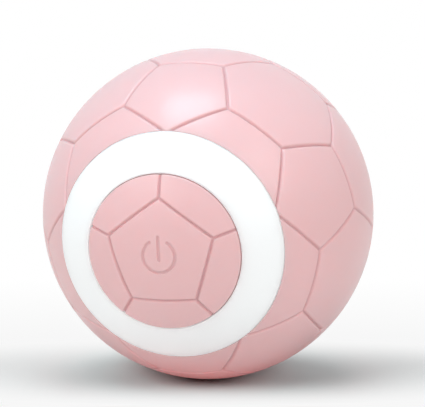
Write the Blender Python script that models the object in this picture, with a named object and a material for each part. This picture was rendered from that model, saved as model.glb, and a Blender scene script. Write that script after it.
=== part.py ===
"""A self-rolling cat ball: a football-patterned sleeve that spins round a level core.

The ball's centre is the origin and +Z is up. The axle lies along Y: the power button faces -Y
and the charging port faces +Y. Lengths are in metres and angles in radians.
"""

import math

import bmesh
import bpy
from mathutils import Matrix, Vector

# Fits
SEAT_GAP = 0.0003
RUNNING_GAP = 0.00015
PIN_GAP = 0.00015
OVERRUN = 0.001
MERGE_LIMIT = 1e-7

# Ball and its football pattern
BALL_RADIUS = 0.0215
SLEEVE_WALL = 0.0016
OPENING_RADIUS = 0.0152
GROOVE_WIDTH = 0.0007
GROOVE_DEPTH = 0.00035
PATTERN_TURN = math.radians(-3.2)
PANEL_CUTS = 1

# Drum that carries the sleeve
DRUM_WALL = 0.0014
LAP_LENGTH = 0.0012
LAP_WALL = 0.0006
DRUM_LIP = 0.00045
COLLAR_LENGTH = 0.0021
COLLAR_WALL = 0.0012

# Bearing rings and the hubs that they turn on
BEARING_WALL = 0.001
BEARING_LENGTH = 0.00145
JOURNAL_WALL = 0.0012
HUB_FACE = 0.0099
HUB_PLATE = 0.0011
HUB_FLANGE = 0.00125
HUB_FLANGE_STEP = 0.0007
HUB_LEDGE = 0.0011
HUB_LEDGE_WIDTH = 0.0006
THRUST_GAP = 0.0004

# Light rings, button and rear cap
RING_WIDTH = 0.0044
RING_COLLAR = 0.0024
RING_CHAMFER = 0.0002
CAP_WALL = 0.0014
CAP_SKIRT_WALL = 0.0012
CAP_LIP = 0.0012
CAP_LIP_THICKNESS = 0.0008
CAP_LIP_PLAY = 0.0009
BUTTON_TRAVEL = 0.0004
BUTTON_STEM_RADIUS = 0.0011

# Power symbol, sunk in the button
SYMBOL_RADIUS = 0.0022
SYMBOL_LINE = 0.00035
SYMBOL_DEPTH = 0.0003
SYMBOL_OPENING = math.radians(33)
SYMBOL_BAR_TOP = 0.0027
SYMBOL_BAR_FOOT = 0.0005

# Boards and what they carry
BOARD_THICKNESS = 0.0008
SWITCH_SIDE = 0.0052
SWITCH_HEIGHT = 0.0015
SWITCH_FLOOR = 0.0003
PLUNGER_RADIUS = 0.0009
PLUNGER_LENGTH = 0.001
LED_SIDE = 0.0016
LED_HEIGHT = 0.0008
LED_INSET = 0.0019
CHIP_SIDE = 0.0036
CHIP_HEIGHT = 0.0008
CHIP_GAP = 0.0018
CHARGE_CHIP_SIDE = 0.0022
CHARGE_CHIP_GAP = 0.0006

# Charging port, a USB-C receptacle behind the rear cap
PORT_FACE_RADIUS = 0.0056
PORT_WIDTH = 0.0089
PORT_HEIGHT = 0.0032
PORT_WALL = 0.0003
PORT_FLOOR = 0.0005
PORT_PLAY = 0.0003
TONGUE_WIDTH = 0.0067
TONGUE_HEIGHT = 0.0007
TONGUE_SETBACK = 0.0008
PORT_BOSS_SHARE = 0.3
PORT_PANEL = 0.0013

# Gear train
MODULE = 0.0005
PRESSURE_ANGLE = math.radians(20)
PROFILE_SHIFT = 0.3
ROOT_CLEARANCE_SHARE = 0.25
BACKLASH = 0.00012
MOTOR_TEETH = 9
FIRST_WHEEL_TEETH = 28
FIRST_PINION_TEETH = 10
SECOND_WHEEL_TEETH = 24
SECOND_PINION_TEETH = 12
RING_TEETH = 48
RING_GEAR_SETBACK = 0.001
RING_GEAR_WIDTH = 0.0018
WHEEL_WIDTH = 0.0009
PINION_EXTRA = 0.0005
PIN_RADIUS = 0.0005
PIN_SOCKET_DEPTH = 0.0008
GEAR_END_GAP = 0.0004

# Chassis, motor, battery and counterweight
BULKHEAD_RADIUS = 0.0125
BULKHEAD_THICKNESS = 0.001
POST_RADIUS = 0.0012
POST_INSET = 0.0014
POST_ANGLE = math.radians(28)
TRAY_THICKNESS = 0.001
TRAY_WALL = 0.0008
MOTOR_WIDTH = 0.012
MOTOR_FLAT = 0.001
MOTOR_LENGTH = 0.0096
MOTOR_CAP_LENGTH = 0.001
MOTOR_SHAFT_RADIUS = 0.0005
MOTOR_BOSS_RADIUS = 0.0016
MOTOR_BOSS_LENGTH = 0.0006
MOTOR_BORE_DEPTH = 0.004
BATTERY_SIDE_GAP = 0.0009
BATTERY_HEIGHT = 0.0065
BATTERY_LENGTH = 0.0098
BATTERY_CORNER = 0.0008
BATTERY_SETBACK = 0.0016
WEIGHT_GAP = 0.001
WEIGHT_TOP = 0.006
WEIGHT_LENGTH = 0.0083
WEIGHT_SETBACK = 0.0013
EAR_THICKNESS = 0.001
EAR_LENGTH = 0.0036
EAR_WIDTH = 0.0037

# Screws
SCREW_RADIUS = 0.0005
SCREW_HOLE_RADIUS = 0.0007
SCREW_HEAD_RADIUS = 0.001
SCREW_HEAD_HEIGHT = 0.0007
SCREW_SLOT_WIDTH = 0.0004
SCREW_SLOT_DEPTH = 0.0003
HUB_SCREW_LENGTH = 0.0045
WEIGHT_SCREW_LENGTH = 0.0042

# Wires
WIRE_RADIUS = 0.00035
WIRE_PITCH = 0.0009
WIRE_LANE_INSET = 0.001
WIRE_STEP = 0.0022

# Facets
BALL_SIDES = 32
HUB_SIDES = 28
GEAR_OUTER_SIDES = 32
ROD_SIDES = 10
SCREW_SIDES = 6
ARC_STEP = math.radians(10)
SHARP_ANGLE = math.radians(35)
ORIGIN = Vector((0, 0, 0))
AXLE = Vector((0, 1, 0))
FULL_TURN = 2 * math.pi

# Radii and places that follow from the sizes above
SLEEVE_INNER = BALL_RADIUS - SLEEVE_WALL
DRUM_RADIUS = SLEEVE_INNER - SEAT_GAP
DRUM_INNER = DRUM_RADIUS - DRUM_WALL
DRUM_END = math.sqrt(DRUM_RADIUS**2 - OPENING_RADIUS**2)
COLLAR_BORE = OPENING_RADIUS - COLLAR_WALL
BEARING_RADIUS = COLLAR_BORE - PIN_GAP
BEARING_BORE = BEARING_RADIUS - BEARING_WALL
JOURNAL_RADIUS = BEARING_BORE - RUNNING_GAP
HUB_FLANGE_RADIUS = JOURNAL_RADIUS + HUB_FLANGE_STEP
HUB_CUP_RADIUS = JOURNAL_RADIUS - JOURNAL_WALL
BOARD_RADIUS = HUB_CUP_RADIUS - SEAT_GAP
HUB_LEDGE_RADIUS = BOARD_RADIUS - HUB_LEDGE_WIDTH
HUB_BACK = HUB_FACE + HUB_PLATE
BOARD_FACE = HUB_BACK + HUB_LEDGE + SEAT_GAP
BOARD_BACK = BOARD_FACE + BOARD_THICKNESS
MOUNTED = BOARD_BACK + SEAT_GAP
FLANGE_START = DRUM_END + THRUST_GAP
FLANGE_END = FLANGE_START + HUB_FLANGE
RING_RADIUS = OPENING_RADIUS - SEAT_GAP
RING_BORE = RING_RADIUS - RING_WIDTH
RING_EDGE = math.sqrt(BALL_RADIUS**2 - RING_RADIUS**2)
RING_MOUTH = math.sqrt(BALL_RADIUS**2 - RING_BORE**2)
RING_COLLAR_FOOT = RING_MOUTH - RING_COLLAR
CAP_RADIUS = RING_BORE - SEAT_GAP
LIP_RADIUS = CAP_RADIUS + CAP_LIP
RING_POCKET_RADIUS = LIP_RADIUS + CAP_LIP_PLAY
SKIRT_BORE = CAP_RADIUS - CAP_SKIRT_WALL
LIP_TOP = RING_COLLAR_FOOT - SEAT_GAP
LIP_FOOT = LIP_TOP - CAP_LIP_THICKNESS
SWITCH_TOP = MOUNTED + SWITCH_HEIGHT
PLUNGER_TOP = SWITCH_TOP + BUTTON_TRAVEL + SEAT_GAP / 2
LED_RING_RADIUS = BOARD_RADIUS - LED_INSET
CHIP_PLACE = (SWITCH_SIDE + CHIP_SIDE) / 2 + CHIP_GAP
PORT_FACE = math.sqrt(BALL_RADIUS**2 - PORT_FACE_RADIUS**2)
PORT_BOSS_RADIUS = PORT_FACE_RADIUS + (SKIRT_BORE - PORT_FACE_RADIUS) * PORT_BOSS_SHARE
CHARGE_CHIP_PLACE = PORT_BOSS_RADIUS + CHARGE_CHIP_GAP + CHARGE_CHIP_SIDE / 2
ADDENDUM = MODULE
FIRST_DISTANCE = (MOTOR_TEETH + FIRST_WHEEL_TEETH) * MODULE / 2
SECOND_DISTANCE = (FIRST_PINION_TEETH + SECOND_WHEEL_TEETH) * MODULE / 2
SECOND_AXIS = (RING_TEETH - SECOND_PINION_TEETH) * MODULE / 2
FIRST_AXIS = SECOND_AXIS - SECOND_DISTANCE
MOTOR_AXIS = FIRST_AXIS - FIRST_DISTANCE
RING_GEAR_FRONT = HUB_FACE - RING_GEAR_SETBACK
RING_GEAR_BACK = RING_GEAR_FRONT - RING_GEAR_WIDTH
SECOND_WHEEL_FRONT = RING_GEAR_BACK - PINION_EXTRA
SECOND_WHEEL_BACK = SECOND_WHEEL_FRONT - WHEEL_WIDTH
FIRST_WHEEL_FRONT = SECOND_WHEEL_BACK - SEAT_GAP
FIRST_WHEEL_BACK = FIRST_WHEEL_FRONT - WHEEL_WIDTH
BULKHEAD_FACE = FIRST_WHEEL_BACK - GEAR_END_GAP
BULKHEAD_BACK = BULKHEAD_FACE - BULKHEAD_THICKNESS
MOTOR_FACE = BULKHEAD_BACK - SEAT_GAP
MOTOR_REAR = MOTOR_LENGTH - MOTOR_FACE
MOTOR_HEIGHT = MOTOR_WIDTH - 2 * MOTOR_FLAT
MOTOR_TOP = MOTOR_AXIS + MOTOR_HEIGHT / 2
MOTOR_FLOOR = MOTOR_AXIS - MOTOR_HEIGHT / 2 - SEAT_GAP
TRAY_FLOOR = MOTOR_TOP + SEAT_GAP
TRAY_TOP = TRAY_FLOOR + TRAY_THICKNESS
BATTERY_FOOT = TRAY_TOP + SEAT_GAP
BATTERY_FRONT = BATTERY_SETBACK - BULKHEAD_BACK
POST_RING_RADIUS = HUB_LEDGE_RADIUS - POST_INSET
POST_X = POST_RING_RADIUS * math.cos(POST_ANGLE)
POST_Z = POST_RING_RADIUS * math.sin(POST_ANGLE)
BATTERY_WIDTH = 2 * (POST_X - TRAY_WALL / 2 - BATTERY_SIDE_GAP)
CHASSIS_REAR = HUB_FACE - SEAT_GAP
WEIGHT_END = BATTERY_FRONT + WEIGHT_LENGTH
WEIGHT_RADIUS = math.sqrt(DRUM_INNER**2 - WEIGHT_END**2) - WEIGHT_GAP
EAR_REACH = POST_X + EAR_WIDTH
EAR_FOOT = SEAT_GAP - WEIGHT_TOP
WIRE_LANE = HUB_LEDGE_RADIUS - WIRE_LANE_INSET


def finish(name, colour, roughness, metallic=0.0):
    """Return a Principled material."""
    material = bpy.data.materials.new(name)
    material.use_nodes = True
    shader = material.node_tree.nodes["Principled BSDF"]
    shader.inputs["Base Color"].default_value = (*colour, 1)
    shader.inputs["Roughness"].default_value = roughness
    shader.inputs["Metallic"].default_value = metallic
    return material


def add_object(name, bm, material, parent=None):
    """Turn a bmesh into an object with outward faces and smooth round sides."""
    bmesh.ops.recalc_face_normals(bm, faces=bm.faces)
    mesh = bpy.data.meshes.new(name)
    bm.to_mesh(mesh)
    bm.free()
    mesh.shade_smooth()
    mesh.set_sharp_from_angle(angle=SHARP_ANGLE)
    if material:
        mesh.materials.append(material)
    item = bpy.data.objects.new(name, mesh)
    bpy.context.scene.collection.objects.link(item)
    if parent:
        item.parent = parent
        item.matrix_parent_inverse = parent.matrix_world.inverted()
    return item


def add_pivot(name, x, z):
    """Return an empty on a joint's axis, which lies along Y."""
    pivot = bpy.data.objects.new(name, None)
    pivot.location = (x, 0, z)
    pivot.empty_display_size = PIN_RADIUS
    bpy.context.scene.collection.objects.link(pivot)
    bpy.context.view_layer.update()
    return pivot


def combine(target, tool, operation):
    """Apply a hidden tool to the target with a Boolean."""
    modifier = target.modifiers.new(tool.name, "BOOLEAN")
    modifier.operation = operation
    modifier.object = tool
    tool.hide_render = True
    tool.display_type = "WIRE"


def turned(name, outline, material=None, sides=HUB_SIDES, parent=None):
    """Spin a closed outline of (radius, y) points round the Y axis."""
    bm = bmesh.new()
    corners = [bm.verts.new((radius, y, 0)) for radius, y in outline]
    pairs = zip(corners, corners[1:] + corners[:1])
    edges = [bm.edges.new(pair) for pair in pairs if pair[0].co.x or pair[1].co.x]
    bmesh.ops.spin(
        bm, geom=corners + edges, cent=ORIGIN, axis=AXLE, angle=FULL_TURN, steps=sides
    )
    bmesh.ops.remove_doubles(bm, verts=bm.verts, dist=MERGE_LIMIT)
    return add_object(name, bm, material, parent)


def extruded(name, loops, near, far, material=None, parent=None):
    """Extrude (x, z) outlines along Y. The first is the rim and the others are holes."""
    bm = bmesh.new()
    edges = []
    for loop in loops:
        corners = [bm.verts.new((x, near, z)) for x, z in loop]
        edges += [bm.edges.new(pair) for pair in zip(corners, corners[1:] + corners[:1])]
    bmesh.ops.triangle_fill(bm, use_beauty=True, edges=edges, normal=AXLE)
    made = bmesh.ops.extrude_face_region(bm, geom=bm.faces[:])["geom"]
    moved = [part for part in made if isinstance(part, bmesh.types.BMVert)]
    bmesh.ops.translate(bm, verts=moved, vec=AXLE * (far - near))
    return add_object(name, bm, material, parent)


def rod(name, x, z, radius, near, far, material=None, sides=ROD_SIDES, parent=None):
    """Make a round rod along Y."""
    return extruded(name, [circle(x, z, radius, sides)], near, far, material, parent)


def box(name, low, high, material=None, parent=None):
    """Make a block between two corners."""
    low, high = Vector(low), Vector(high)
    bm = bmesh.new()
    place = Matrix.LocRotScale((low + high) / 2, None, high - low)
    bmesh.ops.create_cube(bm, size=1, matrix=place)
    return add_object(name, bm, material, parent)


def circle(x, z, radius, sides):
    """Return the (x, z) points of a circle, with one at its top."""
    turns = [FULL_TURN * step / sides for step in range(sides)]
    return [(x + radius * math.sin(turn), z + radius * math.cos(turn)) for turn in turns]


def slot_outline(width, height):
    """Return the (x, z) points of a slot with round ends."""
    reach = (width - height) / 2
    points = []
    for side in (1, -1):
        for step in range(ROD_SIDES // 2 + 1):
            turn = math.pi * step / (ROD_SIDES // 2)
            points.append((side * (reach + height / 2 * math.sin(turn)), side * height / 2 * math.cos(turn)))
    return points


def sphere_arc(radius, start, end):
    """Return (radius, y) points along a sphere's section from one height y to another."""
    first, last = math.asin(start / radius), math.asin(end / radius)
    count = max(1, math.ceil(abs(last - first) / ARC_STEP))
    turns = [first + (last - first) * step / count for step in range(count + 1)]
    return [(radius * math.cos(turn), radius * math.sin(turn)) for turn in turns]


def facing(outline, side):
    """Send an outline of (radius, y) points to the front (-1) or the rear (1)."""
    return [(radius, side * y) for radius, y in outline]


def football(name, material=None):
    """Make a ball with the grooves of a truncated icosahedron, a pentagon facing -Y."""
    bm = bmesh.new()
    bmesh.ops.create_icosphere(bm, subdivisions=1, radius=1)
    bmesh.ops.bevel(
        bm, geom=bm.verts[:], offset=100 / 3, offset_type="PERCENT", segments=1, affect="VERTICES"
    )
    bmesh.ops.rotate(bm, verts=bm.verts, cent=ORIGIN, matrix=Matrix.Rotation(-math.pi / 2, 3, "X"))
    nearest = min(bm.verts, key=lambda corner: (round(corner.co.y, 4), -round(corner.co.z, 4)))
    turn = PATTERN_TURN - math.atan2(nearest.co.x, nearest.co.z)
    bmesh.ops.rotate(bm, verts=bm.verts, cent=ORIGIN, matrix=Matrix.Rotation(turn, 3, "Y"))
    seam = bm.verts.layers.float.new("seam")
    for corner in bm.verts:
        corner[seam] = 1
    panels = bm.faces[:]
    bmesh.ops.inset_individual(bm, faces=panels, thickness=GROOVE_WIDTH / 2 / BALL_RADIUS)
    for panel in panels:
        for corner in panel.verts:
            corner[seam] = 0
    bmesh.ops.poke(bm, faces=panels)
    long_edges = [edge for edge in bm.edges if edge.verts[0][seam] == edge.verts[1][seam]]
    bmesh.ops.subdivide_edges(bm, edges=long_edges, cuts=PANEL_CUTS, use_grid_fill=True)
    for corner in bm.verts:
        corner.co = corner.co.normalized() * (BALL_RADIUS - GROOVE_DEPTH * corner[seam])
    return add_object(name, bm, material)


def involute(angle):
    """Return the involute function of an angle."""
    return math.tan(angle) - angle


def tooth_outline(teeth, inner, outer, half_width, samples, turn):
    """Return the (x, z) outline of a gear whose first tooth points along turn.

    half_width is half of a tooth's angle at the pitch circle. Each flank is an involute of the
    base circle, and below that circle it runs straight to the centre.
    """
    pitch_radius = teeth * MODULE / 2
    base = pitch_radius * math.cos(PRESSURE_ANGLE)
    start = max(inner, base)
    radii = [start + (outer - start) * step / samples for step in range(samples + 1)]
    if inner < base:
        radii.insert(0, inner)
    widths = []
    for radius in radii:
        roll = involute(math.acos(min(1, base / radius)))
        widths.append(half_width + involute(PRESSURE_ANGLE) - roll)
    flank = list(zip(radii, widths))
    points = []
    for tooth in range(teeth):
        middle = turn + FULL_TURN * tooth / teeth
        for radius, width in flank:
            points.append((radius * math.sin(middle - width), radius * math.cos(middle - width)))
        for radius, width in reversed(flank):
            points.append((radius * math.sin(middle + width), radius * math.cos(middle + width)))
    return points


def gear_outline(teeth, shift, samples, turn, internal=False):
    """Return the outline of an outside gear, or of the space inside a ring gear.

    turn is the way that the first tooth or space points, from +Z towards +X.
    """
    pitch_radius = teeth * MODULE / 2
    play = BACKLASH / 4 / pitch_radius
    half_width = math.pi / (2 * teeth) + 2 * shift * math.tan(PRESSURE_ANGLE) / teeth
    deep = MODULE * (1 + ROOT_CLEARANCE_SHARE)
    if internal:
        inner = pitch_radius - ADDENDUM + MODULE * shift
        outer = pitch_radius + deep + MODULE * shift
        return tooth_outline(teeth, inner, outer, half_width + play, samples, turn)
    inner = pitch_radius - deep + MODULE * shift
    outer = pitch_radius + ADDENDUM + MODULE * shift
    return tooth_outline(teeth, inner, outer, half_width - play, samples, turn)


def moved(outline, z):
    """Raise an outline by z."""
    return [(x, height + z) for x, height in outline]


def half_pitch(teeth):
    """Return half of the angle from one tooth to the next."""
    return math.pi / teeth


def build_shell():
    """Build all that spins: the soft sleeve, the drum in two halves, its bearings and ring gear."""
    pink = finish("sleeve_soft_pink", (0.82, 0.52, 0.53), 0.55)
    white = finish("drum_white", (0.8, 0.8, 0.78), 0.45)
    acetal = finish("acetal", (0.72, 0.7, 0.62), 0.35)
    pivot = add_pivot("shell_pivot", 0, 0)

    sleeve = football("shell_skin", pink)
    sleeve.parent = pivot
    inner_edge = math.sqrt(SLEEVE_INNER**2 - OPENING_RADIUS**2)
    far = BALL_RADIUS + OVERRUN
    hollow = [(0, -far), (OPENING_RADIUS, -far), *sphere_arc(SLEEVE_INNER, -inner_edge, inner_edge)]
    hollow += [(OPENING_RADIUS, far), (0, far)]
    combine(sleeve, turned("sleeve_hollow", hollow, sides=BALL_SIDES, parent=pivot), "DIFFERENCE")

    lip_bore = HUB_FLANGE_RADIUS - DRUM_LIP / 2
    collar_end = DRUM_END - DRUM_LIP
    collar_start = DRUM_END - COLLAR_LENGTH
    collar = [(lip_bore, DRUM_END), (lip_bore, collar_end), (COLLAR_BORE, collar_end)]
    collar += [(COLLAR_BORE, collar_start)]
    lap_radius = DRUM_INNER + LAP_WALL
    joint = SEAT_GAP / 2
    front = sphere_arc(DRUM_RADIUS, joint, DRUM_END) + collar
    front += sphere_arc(DRUM_INNER, collar_start, -LAP_LENGTH)
    front += [(lap_radius, -LAP_LENGTH), (lap_radius, joint)]
    turned("drum_front", facing(front, -1), white, BALL_SIDES, pivot)
    rear = sphere_arc(DRUM_RADIUS, joint, DRUM_END) + collar
    rear += sphere_arc(DRUM_INNER, collar_start, LAP_LENGTH + SEAT_GAP)
    rear += [(lap_radius + SEAT_GAP, LAP_LENGTH + SEAT_GAP), (lap_radius + SEAT_GAP, joint)]
    turned("drum_rear", rear, white, BALL_SIDES, pivot)

    bearing_end = collar_end - PIN_GAP
    bearing_start = bearing_end - BEARING_LENGTH
    bearing = [(BEARING_BORE, bearing_start), (BEARING_RADIUS, bearing_start)]
    bearing += [(BEARING_RADIUS, bearing_end), (BEARING_BORE, bearing_end)]
    turned("bearing_ring_front", facing(bearing, -1), acetal, BALL_SIDES, pivot)
    turned("bearing_ring_rear", bearing, acetal, BALL_SIDES, pivot)

    rim = math.sqrt(DRUM_INNER**2 - RING_GEAR_FRONT**2) - SEAT_GAP
    spaces = gear_outline(RING_TEETH, PROFILE_SHIFT, 1, 0, internal=True)
    loops = [circle(0, 0, rim, GEAR_OUTER_SIDES), spaces]
    extruded("ring_gear", loops, -RING_GEAR_FRONT, -RING_GEAR_BACK, acetal, pivot)


def build_hub(side, name, material):
    """Build one hub: a plate, the journal that a bearing turns on, and a cup for the board."""
    outline = [(0, HUB_FACE), (JOURNAL_RADIUS, HUB_FACE), (JOURNAL_RADIUS, FLANGE_START)]
    outline += [(HUB_FLANGE_RADIUS, FLANGE_START), (HUB_FLANGE_RADIUS, FLANGE_END)]
    outline += [(HUB_CUP_RADIUS, FLANGE_END), (HUB_CUP_RADIUS, BOARD_FACE - SEAT_GAP)]
    outline += [(HUB_LEDGE_RADIUS, BOARD_FACE - SEAT_GAP), (HUB_LEDGE_RADIUS, HUB_BACK), (0, HUB_BACK)]
    hub = turned(name, facing(outline, side), material)
    near, far = side * (HUB_FACE - OVERRUN), side * (HUB_BACK + OVERRUN)
    for x, z in post_places():
        hole = rod(f"{name}_hole", x, z, SCREW_HOLE_RADIUS, near, far, sides=SCREW_SIDES)
        combine(hub, hole, "DIFFERENCE")
    for x in (-WIRE_LANE, WIRE_LANE):
        far_edge = side * (BOARD_FACE - SEAT_GAP + OVERRUN)
        slot = extruded(f"{name}_slot", [wire_slot(x)], near, far_edge)
        combine(hub, slot, "DIFFERENCE")
    return hub


def wire_slot(x):
    """Return the outline of the slot through which up to four wires pass, one above another."""
    wide = WIRE_RADIUS + SEAT_GAP
    high = 3 * WIRE_PITCH / 2 + wide
    return [(x - wide, -high), (x + wide, -high), (x + wide, high), (x - wide, high)]


def post_places():
    """Return the (x, z) places of the four screw posts."""
    return [(x, z) for z in (POST_Z, -POST_Z) for x in (-POST_X, POST_X)]


def build_screw(name, direction, place, length, material):
    """Build a slotted screw that points along direction, with its head's foot at place."""
    outline = [(0, SCREW_HEAD_HEIGHT), (SCREW_HEAD_RADIUS, SCREW_HEAD_HEIGHT)]
    outline += [(SCREW_HEAD_RADIUS, 0), (SCREW_RADIUS, 0), (SCREW_RADIUS, -length), (0, -length)]
    screw = turned(name, outline, material, SCREW_SIDES)
    low = (-SCREW_HEAD_RADIUS - OVERRUN, SCREW_HEAD_HEIGHT - SCREW_SLOT_DEPTH, -SCREW_SLOT_WIDTH / 2)
    high = (SCREW_HEAD_RADIUS + OVERRUN, SCREW_HEAD_HEIGHT + OVERRUN, SCREW_SLOT_WIDTH / 2)
    slot = box(f"{name}_slot", low, high, parent=screw)
    combine(screw, slot, "DIFFERENCE")
    screw.rotation_mode = "QUATERNION"
    screw.rotation_quaternion = (-Vector(direction)).to_track_quat("Y", "Z")
    screw.location = place
    return screw


def build_core():
    """Build the frame that hangs level: hubs, light rings, rear cap and chassis."""
    black = finish("hub_black", (0.03, 0.03, 0.033), 0.5)
    diffuser = finish("ring_translucent_white", (0.86, 0.88, 0.88), 0.4)
    pink = finish("cap_soft_pink", (0.82, 0.52, 0.53), 0.5)
    steel = finish("screw_steel", (0.55, 0.55, 0.56), 0.3, 1.0)

    front_hub = build_hub(-1, "front_hub", black)
    build_hub(1, "rear_hub", black)
    for axis in (FIRST_AXIS, SECOND_AXIS):
        depth = HUB_FACE + PIN_SOCKET_DEPTH
        socket = rod("pin_socket", 0, axis, PIN_RADIUS + PIN_GAP, -depth, OVERRUN - HUB_FACE)
        combine(front_hub, socket, "DIFFERENCE")

    rim = HUB_FLANGE_RADIUS + SEAT_GAP
    shelf = FLANGE_END + SEAT_GAP
    ring = [(RING_BORE + RING_CHAMFER, RING_MOUTH), *sphere_arc(BALL_RADIUS, RING_MOUTH, RING_EDGE)[1:]]
    ring += [(RING_RADIUS, FLANGE_START), (rim, FLANGE_START), (rim, shelf), (RING_POCKET_RADIUS, shelf)]
    ring += [(RING_POCKET_RADIUS, RING_COLLAR_FOOT), (RING_BORE, RING_COLLAR_FOOT)]
    ring += [(RING_BORE, RING_MOUTH - RING_CHAMFER)]
    turned("light_ring_front", facing(ring, -1), diffuser, BALL_SIDES)
    turned("light_ring_rear", ring, diffuser, BALL_SIDES)

    for side, end in ((-1, "front"), (1, "rear")):
        for number, (x, z) in enumerate(post_places(), 1):
            place = (x, side * (HUB_BACK + SEAT_GAP), z)
            build_screw(f"{end}_hub_screw_{number}", (0, -side, 0), place, HUB_SCREW_LENGTH, steel)

    build_rear_cap(pink)
    build_chassis(black, steel)


def cap_outline():
    """Return the outline of a cap from its pole down to the foot of its lip.

    It reaches past the ball's surface, where the football then trims it.
    """
    outline = [(0, BALL_RADIUS + OVERRUN), (CAP_RADIUS, BALL_RADIUS + OVERRUN), (CAP_RADIUS, LIP_TOP)]
    outline += [(LIP_RADIUS, LIP_TOP), (LIP_RADIUS, LIP_FOOT), (SKIRT_BORE, LIP_FOOT)]
    return outline


def build_rear_cap(material):
    """Build the fixed rear cap, with a flat panel for the charging port and a boss behind it."""
    inner = BALL_RADIUS - CAP_WALL
    skirt_top = math.sqrt(inner**2 - SKIRT_BORE**2)
    boss_top = math.sqrt(inner**2 - PORT_BOSS_RADIUS**2)
    panel_back = PORT_FACE - PORT_PANEL
    outline = cap_outline() + sphere_arc(inner, skirt_top, boss_top)
    outline += [(PORT_BOSS_RADIUS, MOUNTED), (PORT_FACE_RADIUS, MOUNTED)]
    outline.append((PORT_FACE_RADIUS, panel_back))
    outline += [(0, panel_back)]
    cap = turned("rear_cap", outline, material, BALL_SIDES)
    combine(cap, football("rear_football"), "INTERSECT")
    low = (-CAP_RADIUS, PORT_FACE, -CAP_RADIUS)
    high = (CAP_RADIUS, BALL_RADIUS + OVERRUN, CAP_RADIUS)
    combine(cap, box("port_flat", low, high), "DIFFERENCE")
    hole = [slot_outline(PORT_WIDTH + 2 * PORT_PLAY, PORT_HEIGHT + 2 * PORT_PLAY)]
    combine(cap, extruded("port_hole", hole, panel_back - OVERRUN, PORT_FACE + OVERRUN), "DIFFERENCE")


def build_chassis(material, steel):
    """Build the moulded chassis: a bulkhead, eight posts, a battery tray and two ears."""
    rim = circle(0, 0, BULKHEAD_RADIUS, HUB_SIDES)
    holes = [circle(0, z, PIN_RADIUS + PIN_GAP, ROD_SIDES) for z in (FIRST_AXIS, SECOND_AXIS)]
    holes.append(circle(0, MOTOR_AXIS, MOTOR_BOSS_RADIUS + PIN_GAP, ROD_SIDES))
    holes += [wire_slot(x) for x in (-WIRE_LANE, WIRE_LANE)]
    chassis = extruded("chassis", [rim, *holes], -BULKHEAD_FACE, -BULKHEAD_BACK, material)

    inside = (BULKHEAD_FACE + BULKHEAD_BACK) / 2
    tray_half = POST_X - POST_RADIUS / 2
    low = (-tray_half, -inside, TRAY_FLOOR)
    high = (tray_half, CHASSIS_REAR - OVERRUN, TRAY_TOP)
    combine(chassis, box("tray_floor", low, high), "UNION")
    for x, z in post_places():
        post = rod("chassis_post", x, z, POST_RADIUS, -CHASSIS_REAR, CHASSIS_REAR)
        combine(chassis, post, "UNION")
    for side in (-1, 1):
        ends = sorted((side * (POST_X - TRAY_WALL / 2), side * (POST_X + TRAY_WALL / 2)))
        low = (ends[0], -inside, -POST_Z)
        high = (ends[1], CHASSIS_REAR - OVERRUN, TRAY_TOP + TRAY_WALL)
        combine(chassis, box("tray_side", low, high), "UNION")
        ends = sorted((side * (POST_X - POST_RADIUS / 4), side * EAR_REACH))
        ear_start = BATTERY_FRONT + WEIGHT_SETBACK
        low = (ends[0], ear_start, EAR_FOOT)
        high = (ends[1], ear_start + EAR_LENGTH, EAR_FOOT + EAR_THICKNESS)
        combine(chassis, box("chassis_ear", low, high), "UNION")
    for x, z in post_places():
        for side in (-1, 1):
            near, far = side * (CHASSIS_REAR - HUB_SCREW_LENGTH), side * (CHASSIS_REAR + OVERRUN)
            bore = rod("post_bore", x, z, SCREW_HOLE_RADIUS, near, far, sides=SCREW_SIDES)
            combine(chassis, bore, "DIFFERENCE")
    build_weight(chassis, steel)


def build_weight(chassis, steel):
    """Build the counterweight that cradles the motor, and the two screws that hold it up."""
    zinc = finish("counterweight_zinc", (0.42, 0.43, 0.45), 0.45, 1.0)
    start = math.acos(-WEIGHT_TOP / WEIGHT_RADIUS)
    count = math.ceil(2 * (math.pi - start) / ARC_STEP)
    turns = [start + 2 * (math.pi - start) * step / count for step in range(count + 1)]
    outline = [(WEIGHT_RADIUS * math.sin(turn), WEIGHT_RADIUS * math.cos(turn)) for turn in turns]
    pocket = MOTOR_WIDTH / 2 + SEAT_GAP
    outline += [(-pocket, -WEIGHT_TOP), (-pocket, MOTOR_FLOOR), (pocket, MOTOR_FLOOR), (pocket, -WEIGHT_TOP)]
    weight = extruded("counterweight", [outline], BATTERY_FRONT, WEIGHT_END, zinc)
    y = BATTERY_FRONT + WEIGHT_SETBACK + EAR_LENGTH / 2
    across = (EAR_REACH + POST_X + POST_RADIUS) / 2
    head = EAR_FOOT + EAR_THICKNESS + SEAT_GAP
    for side, name in ((-1, "left"), (1, "right")):
        place = (side * across, y, head)
        build_screw(f"weight_screw_{name}", (0, 0, -1), place, WEIGHT_SCREW_LENGTH, steel)
        bm = bmesh.new()
        foot = head - WEIGHT_SCREW_LENGTH - SEAT_GAP
        middle = Matrix.Translation((side * across, y, (head + OVERRUN + foot) / 2))
        bmesh.ops.create_cone(
            bm,
            cap_ends=True,
            segments=SCREW_SIDES,
            radius1=SCREW_HOLE_RADIUS,
            radius2=SCREW_HOLE_RADIUS,
            depth=head + OVERRUN - foot,
            matrix=middle,
        )
        bore = add_object(f"weight_bore_{name}", bm, None)
        combine(weight, bore, "DIFFERENCE")
        combine(chassis, bore, "DIFFERENCE")


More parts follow.
